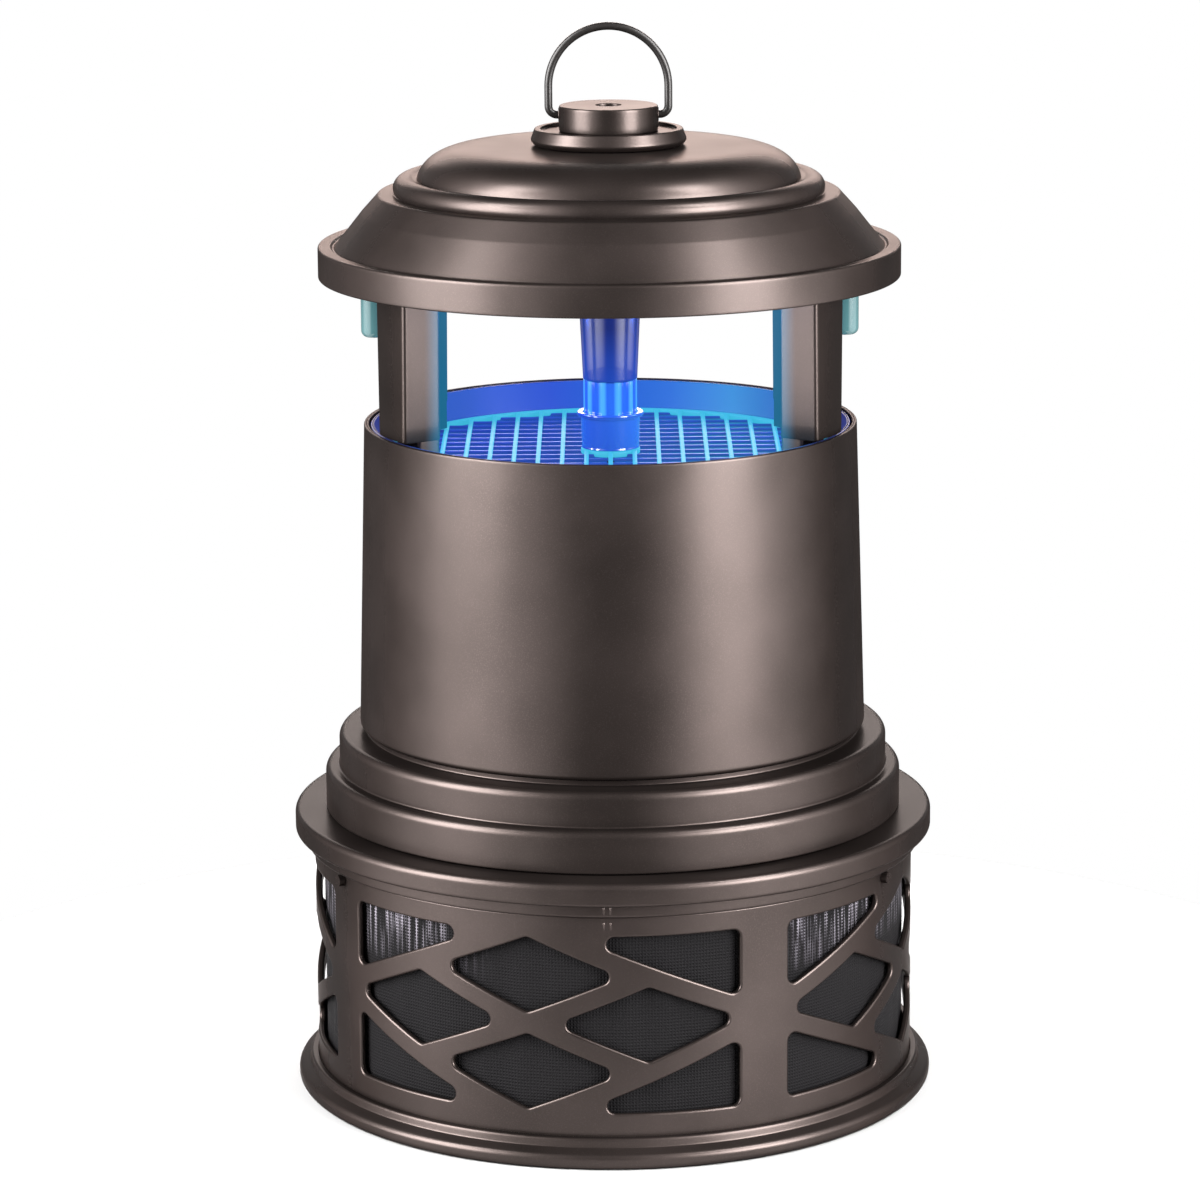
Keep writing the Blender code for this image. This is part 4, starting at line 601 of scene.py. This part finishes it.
def makeCage():
    # one bay is laid out flat as (arc, z), triangulated round its windows and wrapped on the cylinder;
    # each window has a rounded edge on both faces and a straight wall between them
    low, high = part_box("basket_cage")
    radius = high.x
    inner = radius - lattice["wall"]
    bevel = lattice["bevel"]
    middle = high.z - lattice["band"] - lattice["height"] / 2.0
    halfArc = radius * math.pi / lattice["bays"]
    arcs = np.linspace(-halfArc, halfArc, lattice["columns"] + 1)
    floor, roof = low.z - middle + bevel, high.z - middle - bevel
    levels = np.linspace(floor, roof, 25)
    loops = [denseLoop(corners, lattice["fillet"]) for corners in windowOutlines(radius)]
    grown = [loop + normal * bevel for loop, normal in loops]
    frameLoop = np.array([(a, floor) for a in arcs] + [(halfArc, z) for z in levels[1:-1]]
                         + [(a, roof) for a in arcs[::-1]] + [(-halfArc, z) for z in levels[-2:0:-1]])
    gridX, gridZ = np.meshgrid(arcs[1:-1], levels[1:-1])
    extra = np.stack([gridX.ravel(), gridZ.ravel()], 1)
    extra = extra[~insideAny(extra, [loop + normal * bevel * 1.8 for loop, normal in loops])]
    points, edges = [], []
    for loop in [frameLoop] + grown:
        start = len(points)
        points.extend(Vector(p) for p in loop)
        edges.extend((start + k, start + (k + 1) % len(loop)) for k in range(len(loop)))
    points.extend(Vector(p) for p in extra)
    flat, _, triangles, *_ = delaunay_2d_cdt(points, edges, [], 0, 1e-7)
    flat, triangles = np.array([tuple(p) for p in flat]), np.array(triangles)
    triangles = triangles[~insideAny(flat[triangles].mean(1), grown)]
    verts, faces, normals = [], [], []

    def wrap(flatPoints, depth, bay):
        turn = math.radians(lattice["firstBay"]) + math.tau * bay / lattice["bays"]
        angle = turn + flatPoints[:, 0] / radius
        r = np.broadcast_to(depth, angle.shape)
        return np.stack([r * np.cos(angle), r * np.sin(angle), flatPoints[:, 1] + middle], 1), angle

    def addBlock(block, blockFaces, blockNormals):
        start = sum(len(v) for v in verts)
        verts.append(block)
        normals.append(blockNormals)
        faces.extend((np.array(blockFaces) + start).tolist())

    # rounded edge: (share of the bevel outwards from the outline, depth below the face), outer then inner
    turnIn = np.radians(np.linspace(0.0, 90.0, 5))
    ringOut = [(1.0 - math.sin(a), bevel * (1.0 - math.cos(a)), a) for a in turnIn]
    for bay in range(lattice["bays"]):
        for depth, sign in ((radius, 1.0), (inner, -1.0)):
            block, angle = wrap(flat, depth, bay)
            facing = np.stack([np.cos(angle), np.sin(angle), 0 * angle], 1) * sign
            addBlock(block, triangles if sign > 0 else triangles[:, ::-1], facing)
        for loop, normal in loops:
            rings, ringNormals = [], []
            across = [(share, radius - drop, math.cos(a), math.sin(a)) for share, drop, a in ringOut]
            across += [(share, inner + drop, -math.cos(a), math.sin(a)) for share, drop, a in ringOut[::-1]]
            for share, depth, face, side in across:
                block, angle = wrap(loop + normal * bevel * share, depth, bay)
                rings.append(block)
                ringNormals.append(edgeNormal(angle, normal, face, side))
            quads = gridFaces(len(rings), len(loop), False, True)
            addBlock(np.concatenate(rings), quads, np.concatenate(ringNormals))
    # top and bottom edges, rounded, from the outer face over to the inner one
    sides = lattice["bays"] * lattice["columns"]
    firstEdge = math.radians(lattice["firstBay"]) - math.pi / lattice["bays"]
    angle = firstEdge + math.tau * np.arange(sides) / sides
    for edgeZ, up in ((high.z, 1.0), (low.z, -1.0)):
        rings, ringNormals = [], []
        for a in np.radians(np.linspace(0.0, 180.0, 9)):
            r = (radius - bevel if a <= math.pi / 2 else inner + bevel) + bevel * math.cos(a)
            z = edgeZ - up * bevel * (1.0 - math.sin(a))
            rings.append(np.stack([r * np.cos(angle), r * np.sin(angle), 0 * angle + z], 1))
            ringNormals.append(np.stack([math.cos(a) * np.cos(angle), math.cos(a) * np.sin(angle),
                                         0 * angle + up * math.sin(a)], 1))
        quads = gridFaces(len(rings), sides, False, True)
        addBlock(np.concatenate(rings), quads if up > 0 else quads[:, ::-1], np.concatenate(ringNormals))
    verts, normals = np.concatenate(verts), np.concatenate(normals)
    return weldWithNormals("basket_cage_shell", verts, faces, normals)


def edgeNormal(angle, normal, face, side):
    # the normal of a rounded window edge: from the face towards the opening
    outX, outY = np.cos(angle), np.sin(angle)
    return np.stack([face * outX + side * normal[:, 0] * outY, face * outY - side * normal[:, 0] * outX,
                     -side * normal[:, 1]], 1)


def weldWithNormals(name, verts, faces, normals):
    # shared points become one, and each keeps its worked-out normal
    keys = np.round(verts / 2e-6).astype(np.int64)
    _, first, back = np.unique(keys, axis=0, return_index=True, return_inverse=True)
    back = back.ravel()
    welded = [[int(back[v]) for v in face] for face in faces]
    welded = [face for face in welded if len(set(face)) == len(face)]
    mesh = bpy.data.meshes.new(name)
    mesh.from_pydata(verts[first].tolist(), [], welded)
    mesh.update()
    mesh.shade_smooth()
    mesh.normals_split_custom_set_from_vertices(normals[first].tolist())
    return addObject(name, mesh)


place(makeCage(), "basket", "bronze", finishes["bronze"], "basket_cage")
print("basket cage ready")

cloth = {"sag": 0.00035, "waves": 46, "sides": 720, "rows": 60, "thick": 0.0007}


def makeScreen():
    # thin tube of cloth with slight upright waves; the waves fade out at both held edges
    low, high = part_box("mesh_screen")
    radius = high.x - cloth["sag"]
    angles = np.linspace(0.0, math.tau, cloth["sides"] + 1)
    levels = np.linspace(low.z, high.z, cloth["rows"])
    fade = np.sin(math.pi * (levels - low.z) / (high.z - low.z)) ** 0.5
    wave = np.sin(cloth["waves"] * angles) * np.cos(7.0 * angles + 1.0)
    outer = radius + cloth["sag"] * fade[:, None] * wave[None, :]
    r = np.concatenate([outer, outer[::-1] - cloth["thick"]])
    z = np.concatenate([levels, levels[::-1]])[:, None] + 0.0 * angles
    verts = np.stack([r * np.cos(angles), r * np.sin(angles), z], 2)[:, :-1].reshape(-1, 3)
    faces = outward(verts, gridFaces(len(r), cloth["sides"], True, True))
    screen = makePiece("woven_screen", verts, faces)
    # the map holds (arc, height) in metres; a face across the seam keeps its corners together
    uv = screen.data.uv_layers.new(name="arc")
    corner = np.zeros(len(screen.data.loops), np.int64)
    screen.data.loops.foreach_get("vertex_index", corner)
    spots = verts[corner]
    turn = np.arctan2(spots[:, 1], spots[:, 0]).reshape(-1, 4)
    turn = np.where(turn - turn[:, :1] > math.pi, turn - math.tau, turn)
    turn = np.where(turn - turn[:, :1] < -math.pi, turn + math.tau, turn)
    uv.data.foreach_set("uv", np.stack([turn.ravel() * radius, spots[:, 2]], 1).ravel().astype(np.float32))
    place(screen, "basket", "screen", finishes["screen"], "mesh_screen")


makeScreen()

markLines = {"width": 0.0011, "height": 0.0046, "gap": 0.0030, "angle": -91.15, "rise": 0.00025,
             "sunk": 0.0004}


def makeMark(name, body, radius, middle):
    # two short raised strokes that line the ring up with the basket
    strokes = []
    for side in (-0.5, 0.5):
        angle = math.radians(markLines["angle"]) + side * markLines["gap"] / radius
        across = np.linspace(-1.0, 1.0, 5)
        bow = np.sqrt(1.0 - across ** 2 * 0.9)
        levels = np.linspace(-1.0, 1.0, 7)
        cap = np.sqrt(np.clip(1.0 - levels ** 6, 0.0, 1.0))
        sunk = markLines["sunk"]
        r = radius - sunk + (sunk + markLines["rise"]) * bow[None] * cap[:, None]
        a = angle + across[None] * markLines["width"] / 2.0 / radius + 0.0 * levels[:, None]
        z = middle + levels[:, None] * markLines["height"] / 2.0 + 0.0 * across[None]
        top = np.stack([r * np.cos(a), r * np.sin(a), z], 2)
        back = radius - 1.5 * sunk
        under = np.stack([back * np.cos(a), back * np.sin(a), z], 2)
        verts = np.concatenate([top.reshape(-1, 3), under.reshape(-1, 3)])
        rows, columns = top.shape[:2]
        face = gridFaces(rows, columns, False, False)
        quads = np.concatenate([face, face[:, ::-1] + rows * columns])
        index = np.arange(rows * columns).reshape(rows, columns)
        rim = np.concatenate([index[0], index[1:, -1], index[-1, -2::-1], index[-2:0:-1, 0]])
        nextRim = np.roll(rim, -1)
        wall = np.stack([rim, rim + rows * columns, nextRim + rows * columns, nextRim], 1)
        strokes.append(makePiece("stroke", verts, outward(verts, np.concatenate([quads, wall]))))
    place(joinPieces(name, strokes), body, "bronze", finishes["bronze"])


makeMark("basket_mark", "basket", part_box("basket_cage")[1].x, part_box("basket_cage")[1].z - 0.0048)
makeMark("lock_ring_mark", "lock_ring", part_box("lock_ring")[1].x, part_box("lock_ring")[1].z - 0.0030)

# rings, collar and drum

shells = {"wall": 0.0025, "collarFillet": 0.0034, "flangeFillet": 0.0028, "drumFillet": 0.0022,
          "lipFillet": 0.0008, "opening": 0.1262, "neck": 0.1175, "drumTop": 0.1164, "ledgeInner": 0.1030,
          "ledgeThick": 0.0027, "flangeWall": 0.0030, "funnelWall": 0.0020}


def makeLockRing():
    low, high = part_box("lock_ring")
    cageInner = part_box("basket_cage")[1].x - lattice["wall"]
    spigot, step = cageInner - 0.0009, high.z - 0.0061
    inner = spigot - 0.0026
    profile = softCorners([
        (high.x, high.z, 0.0007), (high.x, step, 0.0009), (spigot, step, 0.0002),
        (spigot, low.z, 0.0005), (inner, low.z, 0.0005), (inner, high.z, 0.0004),
    ])
    place(turned("lock_band", profile, 200), "lock_ring", "bronze", finishes["bronze"], "lock_ring")


def makeFlange():
    low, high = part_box("flange_ring")
    wall, opening = shells["flangeWall"], shells["opening"]
    bottom, plate = high.z - 0.0105, high.z - 0.0035
    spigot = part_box("lock_ring")[1].x - 0.0106
    rib = high.x - 0.0110
    profile = softCorners([
        (high.x, high.z, shells["flangeFillet"]), (high.x, bottom, 0.0012), (high.x - wall, bottom, 0.0004),
        (high.x - wall, plate, 0.0003), (rib + wall, plate, 0.0003), (rib + wall, bottom, 0.0003),
        (rib, bottom, 0.0003), (rib, plate, 0.0003), (spigot, plate, 0.0003), (spigot, low.z, 0.0004),
        (spigot - wall, low.z, 0.0004), (spigot - wall, plate, 0.0003),
        (opening, plate, 0.0003), (opening, high.z, 0.0004),
    ])
    place(turned("flange_cover", profile, 200), "housing", "bronze", finishes["bronze"], "flange_ring")


def makeCollar():
    low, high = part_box("step_collar")
    wall, opening = shells["wall"], shells["opening"]
    wide, narrow, neck = high.x, high.x - 0.0067, shells["neck"]
    floor, shoulder, top = low.z + 0.0030, low.z + 0.0198, low.z + 0.0363
    profile = softCorners([
        (wide, low.z, 0.0006), (opening, low.z, 0.0003), (opening, floor, 0.0003),
        (wide - wall, floor, 0.0004), (wide - wall, shoulder - wall, 0.0008),
        (narrow - wall, shoulder - wall, 0.0004), (narrow - wall, top - wall, 0.0008),
        (neck - 0.0022, top - wall, 0.0003), (neck - 0.0022, high.z, 0.0004), (neck, high.z, 0.0004),
        (neck, top, 0.0006), (narrow, top, shells["collarFillet"]), (narrow, shoulder, 0.0007),
        (wide, shoulder, shells["collarFillet"]),
    ], steps=8)
    place(turned("stepped_collar", profile, 200), "housing", "bronze", finishes["bronze"], "step_collar")


def makeDrum():
    low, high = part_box("drum")
    wall, topRadius, inner = shells["wall"], shells["drumTop"], shells["ledgeInner"]
    ledge = low.z + 0.0100
    ledgeTop = ledge + shells["ledgeThick"]
    profile = softCorners([
        (high.x, low.z, shells["drumFillet"]), (high.x - wall, low.z, 0.0004), (high.x - wall, ledge, 0.0003),
        (inner, ledge, 0.0003), (inner, ledgeTop, 0.0003), (high.x - wall, ledgeTop, 0.0003),
        (topRadius - wall, high.z, shells["lipFillet"]), (topRadius, high.z, shells["lipFillet"]),
    ], steps=7)
    place(turned("fan_drum", profile, 224), "housing", "bronze", finishes["bronze"], "drum")


def makeFunnel():
    low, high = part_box("funnel")
    wall = shells["funnelWall"]
    top, seat = high.z, high.z - 0.0157
    cone = top - 0.0122
    lip, outer = high.x, high.x - 0.0050
    profile = softCorners([
        (lip, top, 0.0006), (outer, cone, 0.0008), (outer, seat - wall, 0.0006),
        (0.1050, seat - wall, 0.0004), (0.1005, low.z, 0.0004), (0.0985, low.z, 0.0004),
        (0.1030, seat, 0.0004),
        (outer - wall, seat, 0.0004), (outer - wall, cone, 0.0010), (lip - wall, top, 0.0006),
    ])
    place(turned("lit_funnel", profile, 192), "housing", "blue", finishes["blue"], "funnel")


makeLockRing()
makeFlange()
makeCollar()
makeDrum()
makeFunnel()
print("rings and drum ready")

guard = {"pitch": 0.01135, "bar": 0.0021, "crossPitch": 0.0110, "cross": 0.0013, "rim": 0.0034,
         "hub": 0.0140, "hole": 0.0040, "barStart": 0.009, "fillet": 0.0006}


def barSection(width, height):
    # rounded rectangle, four points a quarter
    a = np.linspace(0.0, math.tau, 16, endpoint=False)
    power = 0.45
    return np.stack([np.sign(np.cos(a)) * np.abs(np.cos(a)) ** power * width / 2.0,
                     np.sign(np.sin(a)) * np.abs(np.sin(a)) ** power * height / 2.0], 1)


def straightBar(start, end, width, height):
    # a rounded bar between two points of one level
    start, end = np.array(start, float), np.array(end, float)
    run = (end - start) / np.linalg.norm(end - start)
    side = np.array((-run[1], run[0], 0.0))
    section = barSection(width, height)
    ring = side[None] * section[:, :1] + np.array((0.0, 0.0, 1.0))[None] * section[:, 1:]
    verts = np.concatenate([start + ring, end + ring])
    return makePiece("bar", verts, closedTube(verts, 2, len(section)), 60.0)


def barRuns(pitch, inner, middle):
    # evenly spaced chords of the rim as (offset, start, end), the middle one in two parts beside the hub
    count = int(inner / pitch)
    for offset in np.arange(-count, count + 1) * pitch:
        half = math.sqrt(middle ** 2 - offset ** 2)
        if abs(offset) > guard["hole"]:
            yield offset, -half, half
        else:
            yield offset, -half, -guard["barStart"]
            yield offset, guard["barStart"], half


def makeGuard():
    low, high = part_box("grille")
    inner = high.x - guard["rim"]
    middle = high.x - guard["rim"] / 2.0
    bars = []
    for part, radius, hole, sides, edge in (("rim", high.x, inner, 160, guard["fillet"]),
                                            ("hub", guard["hub"], guard["hole"], 64, 0.0004)):
        ring = softCorners([(radius, high.z, guard["fillet"]), (radius, low.z, guard["fillet"]),
                            (hole, low.z, edge), (hole, high.z, edge)])
        bars.append(turned(part, ring, sides))
    thick, barZ = guard["bar"], high.z - guard["bar"] / 2.0
    bars += [straightBar((offset, a, barZ), (offset, b, barZ), thick, thick)
             for offset, a, b in barRuns(guard["pitch"], inner, middle)]
    place(joinPieces("guard_bars", bars), "housing", "blue", finishes["guard"], "grille")
    thick, crossZ = guard["cross"], low.z + guard["cross"] / 2.0
    crossBars = [straightBar((a, offset, crossZ), (b, offset, crossZ), thick, thick)
                 for offset, a, b in barRuns(guard["crossPitch"], inner, middle)]
    place(joinPieces("guard_cross_bars", crossBars), "housing", "blue", finishes["cross"])


makeGuard()

# column, posts and lamps


def makeColumn():
    low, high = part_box("column_socket")
    cup, bore, hole = column["cup"], column["bore"], column["screwHole"]
    rimBottom, floor = high.z - 0.0019, low.z + 0.0030
    profile = softCorners([
        (high.x, high.z, 0.0007), (high.x, rimBottom, 0.0007), (cup, rimBottom - 0.0006, 0.0006),
        (column["cupWaist"], low.z + 0.0010, 0.0008), (cup, low.z, 0.0003), (hole, low.z, 0.0003),
        (hole, floor, 0.0003), (bore, floor, 0.0004), (bore, high.z, 0.0006),
    ])
    place(turned("column_cup", profile, 96), "housing", "blue", finishes["cup"], "column_socket")
    low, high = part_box("column_sleeve")
    angles = np.linspace(0.0, math.tau, 240, endpoint=False)
    ribs = column["ribDepth"] * (0.5 + 0.5 * np.cos(column["ribs"] * angles)) ** 6
    levels = np.linspace(low.z, high.z, 12)
    outer = high.x - column["ribDepth"] + ribs[None] + 0.0 * levels[:, None]
    inner = high.x - column["sleeveWall"] + 0.0 * outer
    r = np.concatenate([outer, inner[::-1]])
    z = np.concatenate([levels, levels[::-1]])[:, None] + 0.0 * angles
    verts = np.stack([r * np.cos(angles), r * np.sin(angles), z], 2).reshape(-1, 3)
    faces = outward(verts, gridFaces(len(r), len(angles), True, True))
    sleeve = makePiece("column_clear_sleeve", verts, faces, 50.0)
    place(sleeve, "housing", "clear", finishes["clear"], "column_sleeve")
    low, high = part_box("column_tube")
    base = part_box("column_sleeve")[1].x + 0.00015
    wall = column["tubeWall"]
    profile = softCorners([(high.x, high.z, 0.0004), (base, low.z, 0.0007),
                           (base - wall, low.z, 0.0004), (high.x - wall, high.z, 0.0004)])
    place(turned("column_taper", profile, 96), "housing", "blue", finishes["tube"], "column_tube")


makeColumn()

post = {"inner": 0.0940, "outer": 0.1140, "azimuth": 26.35, "tenonHalf": 6.98, "seatHalf": 7.25,
        "lowHalf": 7.35, "topHalf": 8.0, "fillet": 0.0016}


def makePost(name, node, azimuth):
    # rounded block section in plan (angle, radius), stacked in levels; it widens slightly towards the top
    low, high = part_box(node)
    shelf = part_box("drum")[1].z + 0.0003
    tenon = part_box("grille")[1].x - 0.0004
    lowHalf, widening = post["lowHalf"], post["topHalf"] - post["lowHalf"]
    levels = [(low.z, post["tenonHalf"], tenon), (shelf - 0.0002, post["tenonHalf"], tenon),
              (shelf, post["seatHalf"], post["outer"] - 0.0004), (shelf + 0.0006, lowHalf, post["outer"])]
    levels += [(shelf + (high.z - shelf) * share, lowHalf + widening * share, post["outer"])
               for share in (0.1, 0.3, 0.5, 0.7, 0.9, 1.0)]
    rows = []
    for z, half, outer in levels:
        # the section is laid out flat, its long sides bowed to the radius when wrapped
        mean = (post["inner"] + outer) / 2.0
        arc = math.radians(half) * mean
        depth = (outer - post["inner"]) / 2.0
        corners = ((-arc, -depth), (arc, -depth), (arc, depth), (-arc, depth))
        flat = softCorners([(x, y, post["fillet"]) for x, y in corners], steps=5)
        dense = []
        for index, point in enumerate(flat):
            ahead = flat[(index + 1) % len(flat)]
            parts = 5 if np.linalg.norm(ahead - point) > 0.004 else 1
            dense.extend(point + (ahead - point) * k / parts for k in range(parts))
        dense = np.array(dense)
        angle = math.radians(azimuth) + dense[:, 0] / mean
        r = mean + dense[:, 1]
        rows.append(np.stack([r * np.cos(angle), r * np.sin(angle), 0 * r + z], 1))
    verts = np.concatenate(rows)
    piece = makePiece(name, verts, closedTube(verts, len(rows), len(rows[0])), 35.0)
    place(piece, "housing", "bronze", finishes["litPaint"], node)


for node, azimuth in (("post_rear_right", post["azimuth"]), ("post_rear_left", 180.0 - post["azimuth"]),
                      ("post_front_left", 180.0 + post["azimuth"]), ("post_front_right", -post["azimuth"])):
    makePost("roof_" + node, node, azimuth)
print("posts ready")


bridge = {"rise": 0.0075, "size": 0.0050}


def makeLamp(side):
    # twin tubes with soft ends, joined low down by a short bridge, under a grooved cap
    body = "lamp_" + side
    low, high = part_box("lamp_tube_" + side)
    x = (low.x + high.x) / 2.0
    radius = (high.x - low.x) / 2.0
    profile = softCorners([(axisGap, low.z), (radius, low.z, radius * 0.55), (radius, high.z, 0.0002),
                           (axisGap, high.z)], steps=10)
    tubes = [turned("tube", profile, 48, (x, y)) for y in (low.y + radius, high.y - radius)]
    half = (high.y - low.y) / 2.0 - radius
    bridgeZ = low.z + bridge["rise"]
    tubes.append(straightBar((x, -half, bridgeZ), (x, half, bridgeZ), bridge["size"], bridge["size"]))
    place(joinPieces("lamp_glass_" + side, tubes), body, "lamp", finishes["lamp"], "lamp_tube_" + side)
    finishNode("lamp_base_" + side, finishes["cap"])
    finishNode("lamp_socket_" + side, finishes["cap"])


for side in ("left", "right"):
    makeLamp(side)

# roof, knob and bail

boltHole = 0.0042
bail = {"wire": 0.00185, "halfWidth": 0.02795, "bend": 0.0040, "grip": 0.0050}
roof = {"wall": 0.0025, "crown": 0.0600, "crownFall": 0.0003, "shoulderX": 0.0305, "shoulderZ": 0.0204,
        "shoulderFullness": 0.82, "beadRadius": 0.0058, "beadCentre": 0.0953, "beadRise": 0.0412,
        "stepRise": 0.0390, "rimWall": 0.0027}


def makeRoof():
    # outer profile: nearly flat crown, full shoulder, raised round bead, flat step, skirt, trough and
    # upright rim; then back up the inside
    low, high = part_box("roof_shell")
    top, bottom, rim = high.z, low.z, high.x
    wall, crownEdge, innerRim = roof["wall"], roof["crown"], rim - roof["rimWall"]
    t = np.radians(np.linspace(90.0, 12.0, 24))
    fullness, edgeZ = roof["shoulderFullness"], top - roof["crownFall"]
    shoulder = np.stack([crownEdge + roof["shoulderX"] * np.cos(t) ** fullness,
                         edgeZ - roof["shoulderZ"] * (1.0 - np.sin(t) ** fullness)], 1)
    crownR = np.linspace(boltHole, crownEdge - 0.0010, 6)
    crown = np.stack([crownR, top - roof["crownFall"] * (crownR / crownEdge) ** 2], 1)
    beadZ, size = bottom + roof["beadRise"], roof["beadRadius"]
    t = np.radians(np.linspace(128.0, -20.0, 18))
    bead = np.stack([roof["beadCentre"] + size * np.cos(t), beadZ + size * np.sin(t)], 1)
    stepZ = bottom + roof["stepRise"]
    edge = softCorners([
        (0.1012, stepZ, 0.0006), (0.1078, stepZ, 0.0022), (0.1160, bottom + 0.0300, 0.018),
        (0.1282, bottom + 0.0146, 0.0040), (0.1296, bottom + 0.0132, 0.0007),
        (0.1308, bottom + 0.0148, 0.0006),
        (rim, bottom + 0.0149, 0.0013), (rim, bottom, 0.0007), (innerRim, bottom, 0.0006),
        (innerRim, bottom + 0.0122, 0.0005), (0.1262, bottom + 0.0118, 0.0010),
        (0.1138, bottom + 0.0290, 0.0120),
        (0.1060, stepZ - wall, 0.0020), (0.0968, stepZ - wall, 0.0010), (0.0905, beadZ + 0.0010, 0.0010),
        (0.0830, top - 0.0120, 0.0080), (crownEdge, top - 0.0032, 0.0100), (boltHole, top - 0.0030, 0.0004),
    ], steps=8)
    profile = np.concatenate([crown, shoulder, bead, edge[1:-1]])
    cover = turned("roof_cover", profile, 224, sharp=32.0)
    place(cover, "housing", "bronze", finishes["bronze"], "roof_shell")


knobShape = {"dish": 0.0015, "dishFloor": 0.0025, "skirtWall": 0.0042, "recess": 0.0060,
             "recessDepth": 0.0036}


def makeKnob():
    low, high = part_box("knob_base")
    wide = high.x
    skirt, dishZ = wide - knobShape["skirtWall"], high.z - knobShape["dish"]
    underZ = dishZ - knobShape["dishFloor"]
    profile = softCorners([
        (wide - 0.0020, high.z, 0.0009), (wide, low.z + 0.0022, 0.0018), (wide - 0.0018, low.z, 0.0008),
        (skirt, low.z, 0.0003), (skirt, underZ, 0.0003), (boltHole, underZ, 0.0002),
        (boltHole, dishZ, 0.0002), (wide - 0.0052, dishZ, 0.0006), (wide - 0.0047, high.z, 0.0006),
    ])
    place(turned("knob_plinth", profile, 128), "housing", "bronze", finishes["bronze"], "knob_base")
    low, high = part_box("knob")
    recess, recessZ = knobShape["recess"], high.z - knobShape["recessDepth"]
    profile = softCorners([
        (high.x, high.z, 0.0009), (high.x, low.z, 0.0005), (boltHole, low.z, 0.0003),
        (boltHole, recessZ, 0.0002), (recess, recessZ, 0.0002), (recess, high.z, 0.0005),
    ])
    place(turned("knob_cap", profile, 128), "housing", "bronze", finishes["bronze"], "knob")
    # a raised ring round each of the wire's two holes: turned upright, then laid on its side
    sockets = []
    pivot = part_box("hanging_bail")[0].z + bail["wire"]
    ring = softCorners([(0.0034, 0.0005, 0.0003), (0.0034, -0.0010), (0.0021, -0.0010),
                        (0.0021, 0.0005, 0.0003)])
    for side in (-1.0, 1.0):
        eyelet = turned("eyelet", ring, 32)
        spots = np.zeros(len(eyelet.data.vertices) * 3)
        eyelet.data.vertices.foreach_get("co", spots)
        spots = spots.reshape(-1, 3)
        moved = np.stack([side * (high.x - 0.0002 + spots[:, 2]), spots[:, 0] * side, pivot + spots[:, 1]], 1)
        eyelet.data.vertices.foreach_set("co", moved.ravel())
        sockets.append(eyelet)
    place(joinPieces("bail_eyelets", sockets), "housing", "bronze", finishes["bronze"])


def makeBail():
    # round wire along a path: out of the knob, up through a small bend, over a half circle and back
    low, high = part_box("hanging_bail")
    pivot, bend = low.z + bail["wire"], bail["bend"]
    wide = bail["halfWidth"]
    arch = high.z - bail["wire"] - wide
    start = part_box("knob")[1].x - bail["grip"]
    t = np.linspace(0.0, math.pi / 2.0, 12)
    turnUp = np.stack([wide - bend + bend * np.sin(t), pivot + bend * (1.0 - np.cos(t))], 1)
    over = np.linspace(0.0, math.pi, 60)
    arc = np.stack([wide * np.cos(over), arch + wide * np.sin(over)], 1)
    half = np.concatenate([[(start, pivot)], turnUp, [(wide, (pivot + bend + arch) / 2.0)]])
    path = np.concatenate([half, arc, half[::-1] * np.array((-1.0, 1.0))])
    path = np.stack([path[:, 0], 0.0 * path[:, 0], path[:, 1]], 1)
    a = np.linspace(0.0, math.tau, 20, endpoint=False)
    section = np.stack([np.cos(a), np.sin(a)], 1) * bail["wire"]
    place(swept("wire_bail", path, section), "bail", "wire", finishes["wire"], "hanging_bail")


makeRoof()
makeKnob()
makeBail()
print("roof and bail ready")

# pieces that keep their CAD shape

keptFinish = {
    "bronze": ["roof_pan", "lock_pin_1", "lock_pin_2", "lock_pin_3"],
    "black": ["basket_floor", "fan_duct"],
    "fan": ["motor_bracket", "fan_rotor"],
    "steel": ["motor_can", "motor_shaft", "fan_nut", "hanger_bolt", "hanger_nut", "ballast_box"],
    "rubber": ["motor_lead", "roof_gasket", "cord_gland"],
    "board": ["driver_board"],
    "cap": ["board_standoff_1", "board_standoff_2"],
}
for kind, names in keptFinish.items():
    for name in names:
        finishNode(name, finishes[kind])
for name in cadNodes:
    if "_screw_" in name:
        finishNode(name, finishes["steel"])
print("nodes without a finish:", sorted(set(cadNodes) - finished))

# lamp light inside the head

glow = {"colour": "#1f6cff", "power": 0.30, "side": 0.22, "sideX": 0.098, "size": 0.17, "sideSize": 0.03}


def makeGlow():
    # the lamps' own light: one soft source under the pan and a small one beside each lamp
    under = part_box("roof_pan")[0].z - 0.004
    size, sideSize = (glow["size"],) * 2, (glow["sideSize"],) * 2
    down = addArea("lamp_light", (0.0, 0.0, under), (0.0, 0.0, 0.0), size, glow["power"], glow["colour"])
    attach(down, "housing")
    for side in (-1.0, 1.0):
        spot = addArea("lamp_side_light", (side * glow["sideX"], 0.0, under - 0.020),
                       (0.0, 0.0, under - 0.045), sideSize, glow["side"], glow["colour"])
        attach(spot, "housing")


makeGlow()
